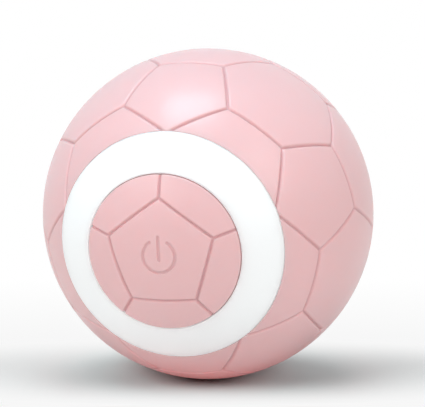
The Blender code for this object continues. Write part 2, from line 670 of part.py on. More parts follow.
def build_button():
    """Build what the thumb presses: the cap with its power symbol, and the switch's plunger."""
    pink = finish("button_soft_pink", (0.82, 0.52, 0.53), 0.5)
    dark = finish("plunger_black", (0.02, 0.02, 0.02), 0.5)
    pivot = add_pivot("button_pivot", 0, 0)
    inner = BALL_RADIUS - CAP_WALL
    skirt_top = math.sqrt(inner**2 - SKIRT_BORE**2)
    stem_top = math.sqrt(inner**2 - BUTTON_STEM_RADIUS**2)
    stem_foot = PLUNGER_TOP + SEAT_GAP
    outline = cap_outline() + sphere_arc(inner, skirt_top, stem_top)
    outline += [(BUTTON_STEM_RADIUS, stem_foot), (0, stem_foot)]
    cap = turned("button_cap", facing(outline, -1), pink, BALL_SIDES, pivot)
    combine(cap, football("button_football"), "INTERSECT")

    bottom, top = SYMBOL_DEPTH - BALL_RADIUS, -BALL_RADIUS - OVERRUN
    outer, inside = SYMBOL_RADIUS + SYMBOL_LINE / 2, SYMBOL_RADIUS - SYMBOL_LINE / 2
    sweep = FULL_TURN - 2 * SYMBOL_OPENING
    turns = [SYMBOL_OPENING + sweep * step / BALL_SIDES * 2 for step in range(BALL_SIDES // 2 + 1)]
    arc = [(outer * math.sin(turn), outer * math.cos(turn)) for turn in turns]
    arc += [(inside * math.sin(turn), inside * math.cos(turn)) for turn in reversed(turns)]
    half = SYMBOL_LINE / 2
    bar = [(-half, -SYMBOL_BAR_FOOT), (half, -SYMBOL_BAR_FOOT)]
    bar += [(half, SYMBOL_BAR_TOP), (-half, SYMBOL_BAR_TOP)]
    for name, loop in (("symbol_arc", arc), ("symbol_bar", bar)):
        tool = extruded(name, [loop], top, bottom)
        tool.rotation_euler = (0, PATTERN_TURN, 0)
        combine(cap, tool, "DIFFERENCE")
    foot = PLUNGER_LENGTH - PLUNGER_TOP
    rod("switch_plunger", 0, 0, PLUNGER_RADIUS, -PLUNGER_TOP, foot, dark, parent=pivot)


def build_boards():
    """Build both boards with the switch, lights, chips and the charging port."""
    green = finish("board_green", (0.02, 0.16, 0.07), 0.45)
    dark = finish("switch_black", (0.02, 0.02, 0.022), 0.5)
    amber = finish("led_white", (0.9, 0.88, 0.75), 0.35)
    steel = finish("port_steel", (0.6, 0.6, 0.6), 0.28, 1.0)
    for side, name in ((-1, "main_board"), (1, "charge_board")):
        rod(name, 0, 0, BOARD_RADIUS, side * BOARD_FACE, side * BOARD_BACK, green, HUB_SIDES)
        end = "front" if side < 0 else "rear"
        for number in range(4):
            turn = math.pi / 4 + FULL_TURN * number / 4
            x, z = LED_RING_RADIUS * math.sin(turn), LED_RING_RADIUS * math.cos(turn)
            ends = sorted((side * MOUNTED, side * (MOUNTED + LED_HEIGHT)))
            low = (x - LED_SIDE / 2, ends[0], z - LED_SIDE / 2)
            high = (x + LED_SIDE / 2, ends[1], z + LED_SIDE / 2)
            box(f"{end}_led_{number + 1}", low, high, amber)

    half = SWITCH_SIDE / 2
    switch = box("tact_switch", (-half, -SWITCH_TOP, -half), (half, -MOUNTED, half), dark)
    well_radius = PLUNGER_RADIUS + PIN_GAP
    well = rod("switch_well", 0, 0, well_radius, -SWITCH_TOP - OVERRUN, -MOUNTED - SWITCH_FLOOR)
    combine(switch, well, "DIFFERENCE")
    half = CHIP_SIDE / 2
    low = (CHIP_PLACE - half, -MOUNTED - CHIP_HEIGHT, -half)
    box("control_chip", low, (CHIP_PLACE + half, -MOUNTED, half), dark)
    half = CHARGE_CHIP_SIDE / 2
    low = (-half, MOUNTED, -CHARGE_CHIP_PLACE - half)
    box("charge_chip", low, (half, MOUNTED + CHIP_HEIGHT, half - CHARGE_CHIP_PLACE), dark)

    port_top = PORT_FACE - SEAT_GAP
    port = extruded("charge_port", [slot_outline(PORT_WIDTH, PORT_HEIGHT)], MOUNTED, port_top, steel)
    mouth = slot_outline(PORT_WIDTH - 2 * PORT_WALL, PORT_HEIGHT - 2 * PORT_WALL)
    combine(port, extruded("port_mouth", [mouth], MOUNTED + PORT_FLOOR, port_top + OVERRUN), "DIFFERENCE")
    low = (-TONGUE_WIDTH / 2, MOUNTED + PORT_FLOOR + SEAT_GAP, -TONGUE_HEIGHT / 2)
    high = (TONGUE_WIDTH / 2, port_top - TONGUE_SETBACK, TONGUE_HEIGHT / 2)
    box("port_tongue", low, high, dark)


def build_motor():
    """Build the motor's can and end cap, and the battery above it."""
    steel = finish("motor_steel", (0.58, 0.58, 0.58), 0.3, 1.0)
    grey = finish("motor_cap_white", (0.75, 0.75, 0.72), 0.5)
    silver = finish("battery_foil", (0.5, 0.51, 0.53), 0.38, 0.6)
    radius = MOTOR_WIDTH / 2
    flat = math.acos(MOTOR_HEIGHT / 2 / radius)
    outline = []
    for start in (flat, math.pi + flat):
        for step in range(ROD_SIDES // 2 + 1):
            turn = start + (math.pi - 2 * flat) * step / (ROD_SIDES // 2)
            outline.append((radius * math.sin(turn), MOTOR_AXIS + radius * math.cos(turn)))
    can = extruded("motor_can", [outline], -MOTOR_FACE, MOTOR_REAR, steel)
    boss_end = -MOTOR_FACE - MOTOR_BOSS_LENGTH
    inside = MOTOR_BORE_DEPTH - MOTOR_FACE
    combine(can, rod("motor_boss", 0, MOTOR_AXIS, MOTOR_BOSS_RADIUS, boss_end, inside / 2), "UNION")
    bore_radius = MOTOR_SHAFT_RADIUS + PIN_GAP
    bore = rod("motor_bore", 0, MOTOR_AXIS, bore_radius, boss_end - OVERRUN, inside)
    combine(can, bore, "DIFFERENCE")
    cap_start = MOTOR_REAR + SEAT_GAP
    extruded("motor_end_cap", [outline], cap_start, cap_start + MOTOR_CAP_LENGTH, grey)

    half = BATTERY_WIDTH / 2
    high = (half, BATTERY_FRONT + BATTERY_LENGTH, BATTERY_FOOT + BATTERY_HEIGHT)
    battery = box("battery", (-half, BATTERY_FRONT, BATTERY_FOOT), high, silver)
    rounding = battery.modifiers.new("rounding", "BEVEL")
    rounding.width = BATTERY_CORNER
    rounding.segments = 2


def build_gears():
    """Build the three turning gears, each on its own pivot, and the two pins."""
    acetal = finish("gear_acetal", (0.74, 0.72, 0.64), 0.35)
    brass = finish("pinion_brass", (0.62, 0.45, 0.18), 0.3, 1.0)
    steel = finish("pin_steel", (0.6, 0.6, 0.6), 0.25, 1.0)

    motor = add_pivot("motor_pivot", 0, MOTOR_AXIS)
    outline = moved(gear_outline(MOTOR_TEETH, PROFILE_SHIFT, 1, 0), MOTOR_AXIS)
    front, back = -FIRST_WHEEL_FRONT - SEAT_GAP, -FIRST_WHEEL_BACK + SEAT_GAP / 2
    pinion = extruded("motor_pinion", [outline], front, back, brass, motor)
    shaft_end = MOTOR_BORE_DEPTH - MOTOR_FACE - SEAT_GAP
    shaft = rod("motor_shaft", 0, MOTOR_AXIS, MOTOR_SHAFT_RADIUS, front - SEAT_GAP, shaft_end)
    combine(pinion, shaft, "UNION")

    first = add_pivot("first_gear_pivot", 0, FIRST_AXIS)
    wheel_turn = math.pi + half_pitch(FIRST_WHEEL_TEETH)
    wheel = moved(gear_outline(FIRST_WHEEL_TEETH, -PROFILE_SHIFT, 1, wheel_turn), FIRST_AXIS)
    hole = circle(0, FIRST_AXIS, PIN_RADIUS + PIN_GAP, ROD_SIDES)
    gear = extruded("first_gear", [wheel, hole], -FIRST_WHEEL_FRONT, -FIRST_WHEEL_BACK, acetal, first)
    pinion = moved(gear_outline(FIRST_PINION_TEETH, PROFILE_SHIFT, 1, 0), FIRST_AXIS)
    front = -SECOND_WHEEL_FRONT - SEAT_GAP / 2
    overlap = -(FIRST_WHEEL_FRONT + FIRST_WHEEL_BACK) / 2
    combine(gear, extruded("first_pinion", [pinion, hole], front, overlap, parent=first), "UNION")

    second = add_pivot("second_gear_pivot", 0, SECOND_AXIS)
    wheel_turn = math.pi + half_pitch(SECOND_WHEEL_TEETH)
    wheel = moved(gear_outline(SECOND_WHEEL_TEETH, -PROFILE_SHIFT, 1, wheel_turn), SECOND_AXIS)
    hole = circle(0, SECOND_AXIS, PIN_RADIUS + PIN_GAP, ROD_SIDES)
    gear = extruded("second_gear", [wheel, hole], -SECOND_WHEEL_FRONT, -SECOND_WHEEL_BACK, acetal, second)
    pinion = moved(gear_outline(SECOND_PINION_TEETH, PROFILE_SHIFT, 1, 0), SECOND_AXIS)
    overlap = -(SECOND_WHEEL_FRONT + SECOND_WHEEL_BACK) / 2
    front = -RING_GEAR_FRONT - SEAT_GAP
    combine(gear, extruded("second_pinion", [pinion, hole], front, overlap, parent=second), "UNION")

    for axis, name in ((FIRST_AXIS, "first"), (SECOND_AXIS, "second")):
        front = SEAT_GAP - HUB_FACE - PIN_SOCKET_DEPTH
        rod(f"{name}_gear_pin", 0, axis, PIN_RADIUS, front, -BULKHEAD_BACK, steel)


def smooth_route(points):
    """Return points along a smooth curve through a wire's own points."""
    points = [Vector(point) for point in points]
    ends = [2 * points[0] - points[1], *points, 2 * points[-1] - points[-2]]
    route = []
    for a, b, c, d in zip(ends, ends[1:], ends[2:], ends[3:]):
        count = max(1, round((c - b).length / WIRE_STEP))
        for step in range(count):
            t = step / count
            bend = (2 * a - 5 * b + 4 * c - d) * t**2 + (3 * b - a - 3 * c + d) * t**3
            route.append((2 * b + (c - a) * t + bend) / 2)
    return [*route, points[-1]]


def build_wire(name, points, material):
    """Build one wire as a round tube along its route."""
    curve = bpy.data.curves.new(name, "CURVE")
    curve.dimensions = "3D"
    curve.bevel_depth = WIRE_RADIUS
    curve.bevel_resolution = 2
    curve.use_fill_caps = True
    route = smooth_route(points)
    spline = curve.splines.new("POLY")
    spline.points.add(len(route) - 1)
    for knot, point in zip(spline.points, route):
        knot.co = (*point, 1)
    curve.materials.append(material)
    wire = bpy.data.objects.new(name, curve)
    bpy.context.scene.collection.objects.link(wire)


def build_wires():
    """Build the three pairs of wires, which all end behind the main board."""
    red = finish("wire_red", (0.55, 0.03, 0.03), 0.5)
    black = finish("wire_black", (0.02, 0.02, 0.02), 0.5)
    board = SEAT_GAP - BOARD_FACE
    lane = WIRE_LANE
    bow = WIRE_LANE + WIRE_PITCH
    half = WIRE_PITCH / 2
    for material, z, name in ((red, half, "plus"), (black, -half, "minus")):
        charge = [(-lane, -board, z), (-lane, HUB_FACE, z), (-bow, MOTOR_REAR / 2, z)]
        charge += [(-lane, -BULKHEAD_BACK, z), (-lane, -HUB_FACE, z), (-lane, board, z)]
        build_wire(f"charge_wire_{name}", charge, material)

        top = BATTERY_FOOT + BATTERY_HEIGHT + SEAT_GAP + WIRE_RADIUS
        start = BATTERY_FRONT + BATTERY_CORNER + half - z
        x = BATTERY_WIDTH / 2 - BATTERY_CORNER
        over = POST_Z + POST_RADIUS + WIRE_PITCH
        beside = POST_X + POST_RADIUS + WIRE_PITCH
        battery = [(x - WIRE_PITCH, start, top), (x, start, top), (POST_X, start, over)]
        battery += [(beside, start, POST_Z), (beside, start - WIRE_PITCH, POST_Z / 2 + z)]
        battery += [(lane, -BULKHEAD_BACK, z + WIRE_PITCH)]
        battery += [(lane, -BULKHEAD_FACE, z + WIRE_PITCH), (lane, -HUB_FACE, z + WIRE_PITCH)]
        battery += [(lane, board, z + WIRE_PITCH)]
        build_wire(f"battery_wire_{name}", battery, material)

        rear = MOTOR_REAR + 2 * SEAT_GAP + MOTOR_CAP_LENGTH + WIRE_RADIUS
        motor = [(MOTOR_WIDTH / 4, rear, MOTOR_AXIS + 2 * z), (MOTOR_WIDTH / 2, rear, MOTOR_AXIS + 2 * z)]
        motor += [(WIRE_LANE + WIRE_PITCH, rear - WIRE_PITCH, -POST_Z - WIRE_PITCH + 2 * z)]
        motor += [(bow + WIRE_PITCH, MOTOR_REAR / 2, -2 * WIRE_PITCH + z)]
        motor += [(lane, -BULKHEAD_BACK, z - WIRE_PITCH), (lane, -BULKHEAD_FACE, z - WIRE_PITCH)]
        motor += [(lane, -HUB_FACE, z - WIRE_PITCH), (lane, board, z - WIRE_PITCH)]
        build_wire(f"motor_wire_{name}", motor, material)


def build_ball():
    """Clear the scene and build every piece."""
    for item in list(bpy.data.objects):
        bpy.data.objects.remove(item)
    build_shell()
    build_core()
    build_button()
    build_boards()
    build_motor()
    build_gears()
    build_wires()


build_ball()
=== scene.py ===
"""Looks of a self rolling cat ball: a pink football sleeve round a core with a lit white ring."""

import itertools
import math

import bmesh
import bpy
import numpy as np
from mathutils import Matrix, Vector


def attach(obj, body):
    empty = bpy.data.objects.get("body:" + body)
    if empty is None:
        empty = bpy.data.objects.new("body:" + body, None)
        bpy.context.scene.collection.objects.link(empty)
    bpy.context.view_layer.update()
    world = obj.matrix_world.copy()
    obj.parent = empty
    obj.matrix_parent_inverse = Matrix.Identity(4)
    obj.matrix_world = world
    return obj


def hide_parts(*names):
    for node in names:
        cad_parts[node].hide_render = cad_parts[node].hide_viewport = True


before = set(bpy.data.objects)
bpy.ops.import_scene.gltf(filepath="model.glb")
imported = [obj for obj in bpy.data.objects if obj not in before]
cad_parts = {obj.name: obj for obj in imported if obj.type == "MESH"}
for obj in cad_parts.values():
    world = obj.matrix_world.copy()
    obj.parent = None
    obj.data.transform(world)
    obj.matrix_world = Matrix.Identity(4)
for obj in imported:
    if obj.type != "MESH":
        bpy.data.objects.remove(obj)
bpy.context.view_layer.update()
scene = bpy.context.scene
scene.view_settings.view_transform = "Standard"


# Camera
# A very long lens, so the ball's outline is a circle from any side. The ball's middle sits a
# little left of and below the middle of the picture, as in the photograph.
ball_radius = 0.0215
picture_width, picture_height = 425, 407
ball_middle_px = (208.2, 213.7)
ball_radius_px = 165.3
azimuth, elevation = math.radians(17.1), math.radians(15.4)
camera_distance = 0.9
sensor = 0.036

back = Vector(
    (
        math.sin(azimuth) * math.cos(elevation),
        -math.cos(azimuth) * math.cos(elevation),
        math.sin(elevation),
    )
)
right = Vector((math.cos(azimuth), math.sin(azimuth), 0))
up = back.cross(right)
metres_per_px = ball_radius / ball_radius_px
aim = right * (picture_width / 2 - ball_middle_px[0]) * metres_per_px
aim += up * (ball_middle_px[1] - picture_height / 2) * metres_per_px
lens = bpy.data.cameras.new("long_lens")
lens.sensor_width = sensor * 1000
lens.lens = lens.sensor_width * camera_distance / (picture_width * metres_per_px)
lens.clip_start, lens.clip_end = 0.01, 10
camera = bpy.data.objects.new("camera", lens)
camera.location = aim + back * camera_distance
camera.rotation_mode = "QUATERNION"
camera.rotation_quaternion = (-back).to_track_quat("-Z", "Y")
scene.collection.objects.link(camera)
scene.camera = camera


# Table and studio
# A pale table top that fades to white away from the ball, in a white room that mirrors see too.
# Near the ball its colour carries painted light: a coral bounce that diffuse rays see, and a cool
# grey shadow tint for other rays. The ball and the table have lamps of their own.
table_half, table_steps = 1.5, 12
table_colour = (0.59, 0.635, 0.635)
grain_scale, grain_shade = 30, 0.985
pool_start, pool_end = 0.012, 0.022
# Painted light near the ball: a coral bounce for diffuse rays, and a cool grey tint in the shadow.
painted_shadow_grey, painted_bounce_coral = (0.55, 0.7, 0.7), (0.62, 0.12, 0.11)
fade_start, fade_end, fade_depth = 0.015, 0.053, 3.4
# Painted shade: the white glow is a little grey close round the ball and full white further off.
backdrop_shade_start, backdrop_shade_end, backdrop_shade_white = 0.06, 0.15, 0.93
white = (1, 1, 1, 1)
room_light = 0


def fill(shader_node, sockets):
    """Set a node's input sockets, each by its name or number."""
    for socket, value in sockets.items():
        shader_node.inputs[socket].default_value = value


def node(material, kind, sockets=None, **values):
    """Add one shader node, set its plain properties and fill its sockets."""
    made = material.node_tree.nodes.new(kind)
    for name, value in values.items():
        setattr(made, name, value)
    fill(made, sockets or {})
    return made


def plug(material, *joins):
    """Join sockets: each join names a node, its output, the next node and its input."""
    for source, output, target, socket in joins:
        material.node_tree.links.new(source.outputs[output], target.inputs[socket])


def shader_of(material):
    """The main shader of a material."""
    return material.node_tree.nodes["Principled BSDF"]


def new_finish(name):
    """Start a material: the material, its shader and the coordinates of the object it is on."""
    made = bpy.data.materials.new(name)
    made.use_nodes = True
    return made, shader_of(made), node(made, "ShaderNodeTexCoord")


def two_tones(material, first, second):
    """Mix of two colours."""
    return node(material, "ShaderNodeMix", {"A": (*first, 1), "B": (*second, 1)}, data_type="RGBA")


def shaded(colour, share):
    """The same colour made darker."""
    return tuple(share * part for part in colour)


def smooth_range(material, start, end):
    """Smooth step from 0 at start to 1 at end."""
    sockets = {"From Min": start, "From Max": end}
    return node(material, "ShaderNodeMapRange", sockets, interpolation_type="SMOOTHSTEP")


def seen(material):
    """The path of a ray, and a node that gives 1 if it comes from the camera, a mirror or glass."""
    path = node(material, "ShaderNodeLightPath")
    either = node(material, "ShaderNodeMath", operation="MAXIMUM")
    any_of_three = node(material, "ShaderNodeMath", operation="MAXIMUM")
    plug(
        material,
        (path, "Is Camera Ray", either, 0),
        (path, "Is Glossy Ray", either, 1),
        (either, "Value", any_of_three, 0),
        (path, "Is Transmission Ray", any_of_three, 1),
    )
    return path, any_of_three


def sheet_grid(half, steps):
    """Flat square grid at the ball's lowest point: x and y run from -half to half in even steps."""
    line = np.linspace(-half, half, steps + 1)
    x, y = np.meshgrid(line, line, indexing="ij")
    points = np.stack([x, y, np.full_like(x, -ball_radius)], axis=-1).reshape(-1, 3)
    row = np.arange(steps)[:, None] * (steps + 1) + np.arange(steps)[None]
    faces = np.stack([row, row + steps + 1, row + steps + 2, row + 1], axis=-1)
    return points, faces.reshape(-1, 4)


def mesh_piece(name, points, faces, material, smooth=True):
    """Make an object at the origin from arrays of points and lists of faces, faces turned out."""
    mesh = bpy.data.meshes.new(name)
    mesh.from_pydata(points.tolist(), [], faces)
    mesh.materials.append(material)
    bm = bmesh.new()
    bm.from_mesh(mesh)
    bmesh.ops.recalc_face_normals(bm, faces=bm.faces)
    bm.to_mesh(mesh)
    bm.free()
    mesh.polygons.foreach_set("use_smooth", np.full(len(mesh.polygons), smooth))
    made = bpy.data.objects.new(name, mesh)
    scene.collection.objects.link(made)
    return made


def table_finish():
    """Pale top: painted coral bounce to diffuse rays, cool grey shadow tint to others near the
    ball, white far from it.
    """
    made, shader, place = new_finish("table_top")
    fill(shader, {"Roughness": 0.6, "Specular IOR Level": 0.2})
    foot = (0, 0, -ball_radius)
    path, seen_white = seen(made)

    grain = node(made, "ShaderNodeTexNoise", {"Scale": grain_scale})
    tint = two_tones(made, table_colour, shaded(table_colour, grain_shade))
    # Painted light: a coral bounce seen by diffuse rays, and a cool grey shadow tint seen by the
    # rest.
    painted_light_tint = two_tones(made, painted_shadow_grey, painted_bounce_coral)
    from_foot = node(made, "ShaderNodeVectorMath", {1: foot}, operation="DISTANCE")
    pool = smooth_range(made, pool_end, pool_start)
    colours = node(made, "ShaderNodeMix", data_type="RGBA")
    plug(
        made,
        (place, "Object", grain, "Vector"),
        (grain, "Fac", tint, "Factor"),
        (path, "Is Diffuse Ray", painted_light_tint, "Factor"),
        (place, "Object", from_foot, 0),
        (from_foot, "Value", pool, "Value"),
        (pool, "Result", colours, "Factor"),
        (tint, "Result", colours, "A"),
        (painted_light_tint, "Result", colours, "B"),
        (colours, "Result", shader, "Base Color"),
    )

    drawn_out = {"Location": foot, "Rotation": (0, 0, azimuth), "Scale": (1, 1 / fade_depth, 1)}
    flat = node(made, "ShaderNodeMapping", drawn_out, vector_type="TEXTURE")
    reach = node(made, "ShaderNodeVectorMath", operation="LENGTH")
    fade = smooth_range(made, fade_start, fade_end)
    # Painted shade: the white glow dims a little near the ball.
    backdrop_shade_sockets = {"From Min": backdrop_shade_start, "From Max": backdrop_shade_end, "To Min": backdrop_shade_white}
    backdrop_shade = node(made, "ShaderNodeMapRange", backdrop_shade_sockets)
    glow = node(made, "ShaderNodeEmission")
    mask = node(made, "ShaderNodeMath", operation="MULTIPLY")
    blend = node(made, "ShaderNodeMixShader")
    plug(
        made,
        (place, "Object", flat, "Vector"),
        (flat, "Vector", reach, 0),
        (reach, "Value", fade, "Value"),
        (reach, "Value", backdrop_shade, "Value"),
        (backdrop_shade, "Result", glow, "Strength"),
        (seen_white, "Value", mask, 0),
        (fade, "Result", mask, 1),
        (mask, "Value", blend, "Fac"),
        (shader, "BSDF", blend, 1),
        (glow, "Emission", blend, 2),
        (blend, "Shader", made.node_tree.nodes["Material Output"], "Surface"),
    )
    return made


table_points, table_faces = sheet_grid(table_half, table_steps)
table = mesh_piece("table", table_points, table_faces.tolist(), table_finish(), smooth=False)

room = bpy.data.worlds.new("white_room")
room.use_nodes = True
scene.world = room
room_glow = room.node_tree.nodes["Background"]
fill(room_glow, {"Color": white, "Strength": room_light})
room_white = node(room, "ShaderNodeBackground", {"Color": white})
room_pick = node(room, "ShaderNodeMixShader")
room_seen = seen(room)[1]
plug(
    room,
    (room_seen, "Value", room_pick, "Fac"),
    (room_glow, "Background", room_pick, 1),
    (room_white, "Background", room_pick, 2),
    (room_pick, "Shader", room.node_tree.nodes["World Output"], "Surface"),
)

for_table = bpy.data.collections.new("lit_for_table")
for_ball = bpy.data.collections.new("lit_for_ball")
for_table.objects.link(table)
for_ball.objects.link(table)
for_ball.collection_objects[0].light_linking.link_state = "EXCLUDE"


def lamp(name, size, watts, place, lights=for_ball, tint=white[:3], mirrored=True):
    """Square lamp that points at the ball and lights only the ball or only the table.

    One that isn't mirrored gives no highlight, so the rim opposite it doesn't flare.
    """
    light = bpy.data.lights.new(name, "AREA")
    light.shape, light.size = "SQUARE", size
    light.energy, light.color = watts, tint
    made = bpy.data.objects.new(name, light)
    made.location = place
    made.rotation_mode = "QUATERNION"
    made.rotation_quaternion = Vector(place).to_track_quat("Z", "Y")
    made.visible_camera = False
    made.visible_glossy = mirrored
    made.light_linking.receiver_collection = lights
    scene.collection.objects.link(made)


cool = (0.74, 0.98, 1.1)
side_lift = Vector((0, 0, 0.087))
lamp("key", 0.14, 0.55, up * 0.29 - right * 0.05 + back * 0.066, tint=cool)
lamp("overhead", 0.5, 0.28, Vector((0, 0, 0.45)))
lamp("left", 0.2, 0.42, -0.41 * right + side_lift, mirrored=False)
lamp("right", 0.2, 0.29, 0.41 * right + side_lift, mirrored=False)
lamp("front_left", 0.3, 0.6, back * 0.35 - right * 0.3 + up * 0.25)
lamp("front_right", 0.3, 0.8, back * 0.35 + right * 0.3 + up * 0.25)
lamp("front_low", 0.3, 1.28, back * 0.5 - up * 0.08, mirrored=False)
lamp("rear_left", 0.3, 0.14, -back * 0.3 - right * 0.3 + up * 0.3, mirrored=False)
lamp("rear_right", 0.3, 0.38, -back * 0.3 + right * 0.3 + up * 0.3, mirrored=False)
lamp("rear", 0.3, 1.1, -back * 0.5, mirrored=False)


def table_lamp(name, watts, turn, rise, distance=0.45, size=0.2):
    """Lamp for the table at a turn from the camera's side and a rise, both in degrees."""
    turn, rise = math.radians(turn), math.radians(rise)
    toward = Vector((math.sin(azimuth), -math.cos(azimuth), 0))
    heading = toward * math.cos(turn) + right * math.sin(turn)
    place = distance * (heading * math.cos(rise) + Vector((0, 0, math.sin(rise))))
    lamp(name, size, watts, place, for_table)


table_lamp("table_left", 1.44, -45, 30)
table_lamp("table_high_left", 0.4, -90, 60)
table_lamp("table_right", 0.71, 45, 30)
table_lamp("table_far_right", 0.42, 70, 20)
table_lamp("table_rear", 0.81, 180, 60)
table_lamp("table_low_rear", 0.27, 180, 34)


# Football pattern
# The sleeve and both caps share one football: 12 five-sided and 20 six-sided panels that meet in
# soft pressed grooves. The moulds cut it as a truncated icosahedron with a pentagon at each pole.
pattern_turn = math.radians(-3.2)
groove_half_width = 0.00031
groove_depth = 0.00028
golden = (1 + math.sqrt(5)) / 2
row_crowding = 2.2
# How far a panel reaches from its middle, as an angle.
panel_reach = 0.4
# Points beyond this y on the unit sphere are merged where they lie nearer than the gap.
crowded_y, crowded_gap = -0.99, 0.0015
# An open edge's points lie within this band of y on the unit sphere.
edge_band = 0.01
# Shares of a rounded edge at which extra points are cut.
edge_steps = np.array([0.08, 0.2, 0.4, 0.65, 1])


def football_frame():
    """Turn from the icosahedron's own axes to the ball's.

    One corner goes to -Y, and its neighbour then lies above it, turned by the pattern's turn.
    """
    pole = np.array([0, 1, golden]) / math.hypot(1, golden)
    neighbour = np.array([0, -1, golden]) / math.hypot(1, golden)
    raised = neighbour - pole * (pole @ neighbour)
    raised /= np.linalg.norm(raised)
    axes = np.stack([np.cross(-pole, raised), -pole, raised])
    sine, cosine = math.sin(pattern_turn), math.cos(pattern_turn)
    return np.array([[cosine, 0, sine], [0, 1, 0], [-sine, 0, cosine]]) @ axes


def football_panels():
    """Corners of every panel on the unit sphere, and each panel's weighted middle.

    A panel's plane lies at the distance d from the middle of the ball along its direction n. The
    panel under a direction p is the one with the largest p . n / d, so n / d is its weight.
    """
    signs = np.array([(0, a, b * golden) for a in (-1, 1) for b in (-1, 1)])
    tips = np.concatenate([np.roll(signs, shift, axis=1) for shift in range(3)])
    tips = tips / np.linalg.norm(tips, axis=1)[:, None] @ football_frame().T
    near = tips @ tips.T
    linked = np.isclose(near, 1 / math.sqrt(5), atol=1e-6)
    outlines, weights = [], []
    for tip in range(len(tips)):
        around = tips[linked[tip]]
        corners = (2 * tips[tip] + around) / 3
        outlines.append(in_order(corners, tips[tip]))
        weights.append(tips[tip] / (corners[0] @ tips[tip]))
    for a, b, c in itertools.combinations(range(len(tips)), 3):
        if linked[a, b] and linked[b, c] and linked[a, c]:
            ends = tips[[a, b, c]]
            thirds = [(2 * ends + np.roll(ends, shift, axis=0)) / 3 for shift in (1, 2)]
            middle = ends.sum(axis=0)
            middle /= np.linalg.norm(middle)
            outlines.append(in_order(np.concatenate(thirds), middle))
            weights.append(middle / (ends[0] @ middle))
    return outlines, np.array(weights)


def in_order(corners, middle):
    """Sort corners by their angle round the middle."""
    first = corners[0] - middle * (corners[0] @ middle)
    second = np.cross(middle, first)
    return corners[np.argsort(np.arctan2(corners @ second, corners @ first))]


panel_outlines, panel_weights = football_panels()


def fan_to(ring, middle):
    """Triangles from a closed ring of point numbers to one more point."""
    return np.stack([ring, np.roll(ring, -1), np.full(len(ring), middle)], axis=-1)


def panel_grid(corners, along, rows):
    """Grid of one panel on the unit sphere.

    For a side with corners a and b, and the panel's middle c, the point is
    (1 - t)((1 - s) a + s b) + t c, sent out to the sphere. s runs along the side in even steps,
    and t = (row / rows) ** row_crowding, so that the rows crowd towards the seam.
    """
    s = (np.arange(along) / along)[None, :, None]
    side = (1 - s) * corners[:, None] + s * np.roll(corners, -1, axis=0)[:, None]
    rim = side.reshape(1, -1, 3)
    t = ((np.arange(rows) / rows) ** row_crowding)[:, None, None]
    middle = corners.mean(axis=0)
    points = ((1 - t) * rim + t * middle).reshape(-1, 3)
    points = np.vstack([points, middle])
    count = rim.shape[1]
    here = np.arange(count)
    onward = np.roll(here, -1)
    down = np.arange(rows - 1)[:, None] * count
    next_down = down + count
    quads = np.stack([down + here, down + onward, next_down + onward, next_down + here], axis=-1)
    fan = fan_to((rows - 1) * count + here, rows * count)
    return points / np.linalg.norm(points, axis=1)[:, None], quads.reshape(-1, 4), fan


def level(angle):
    """Plane, as a place and a normal, that cuts the unit sphere at an angle from -Y."""
    return (0, -math.cos(angle), 0), (0, 1, 0)


def football_patch(along, rows, keep, cuts):
    """Triangles of the football between two angles from -Y, as directions from the ball's middle.

    keep is the range of angles kept, and cuts are planes along which extra points are cut. The
    points that crowd round the middle of the front panel are merged.
    """
    points, faces, base = [], [], 0
    for corners in panel_outlines:
        middle = corners.mean(axis=0)
        from_pole = math.acos(-middle[1] / np.linalg.norm(middle))
        if keep[0] - panel_reach < from_pole < keep[1] + panel_reach:
            grid, quads, fan = panel_grid(corners, along, rows)
            points.append(grid)
            faces += (quads + base).tolist() + (fan + base).tolist()
            base += len(grid)
    mesh = bpy.data.meshes.new("football_patch")
    mesh.from_pydata(np.vstack(points).tolist(), [], faces)
    bm = bmesh.new()
    bm.from_mesh(mesh)
    bmesh.ops.remove_doubles(bm, verts=bm.verts, dist=1e-6)
    crowded = [point for point in bm.verts if point.co.y < crowded_y]
    bmesh.ops.remove_doubles(bm, verts=crowded, dist=crowded_gap)
    for place, normal in cuts:
        whole = bm.verts[:] + bm.edges[:] + bm.faces[:]
        bmesh.ops.bisect_plane(bm, geom=whole, dist=1e-5, plane_co=place, plane_no=normal)
    for angle, way in ((keep[0], -1), (keep[1], 1)):
        if 0 < angle < math.pi:
            whole = bm.verts[:] + bm.edges[:] + bm.faces[:]
            place = (0, -math.cos(angle), 0)
            bmesh.ops.bisect_plane(
                bm, geom=whole, dist=1e-7, plane_co=place, plane_no=(0, way, 0), clear_outer=True
            )
    bmesh.ops.triangulate(bm, faces=bm.faces)
    bm.to_mesh(mesh)
    bm.free()
    places = np.empty(len(mesh.vertices) * 3)
    mesh.vertices.foreach_get("co", places)
    corners = np.empty(len(mesh.loops), int)
    mesh.loops.foreach_get("vertex_index", corners)
    bpy.data.meshes.remove(mesh)
    places = places.reshape(-1, 3)
    return places / np.linalg.norm(places, axis=1)[:, None], corners.reshape(-1, 3)


def seam_distance(directions):
    """Distance over the ball from each direction to the nearest seam.

    The two largest of p . n / d belong to the panel and its neighbour, and their difference over
    the length of the difference of the two weights is the sine of the angle to the seam.
    """
    scores = directions @ panel_weights.T
    order = np.argsort(scores, axis=1)
    first, second = order[:, -1], order[:, -2]
    rows = np.arange(len(scores))
    gap = scores[rows, first] - scores[rows, second]
    apart = np.linalg.norm(panel_weights[first] - panel_weights[second], axis=1)
    return ball_radius * np.arcsin(gap / apart)


def groove(distance):
    """Depth of a pressed groove: full depth * cos^2(pi/2 * distance / half width), then nothing."""
    share = np.minimum(distance / groove_half_width, 1)
    return groove_depth * np.cos(math.pi / 2 * share) ** 2


def rounded_edge(distance, radius):
    """Drop of a quarter-round edge: r - sqrt(r^2 - (r - distance)^2) within r of the edge."""
    inside = np.clip(radius - distance, 0, radius)
    return radius - np.sqrt(radius**2 - inside**2)


def angle_at(radius, sphere=ball_radius):
    """Angle from the pole at which a sphere has this radius about the axle."""
    return math.asin(radius / sphere)


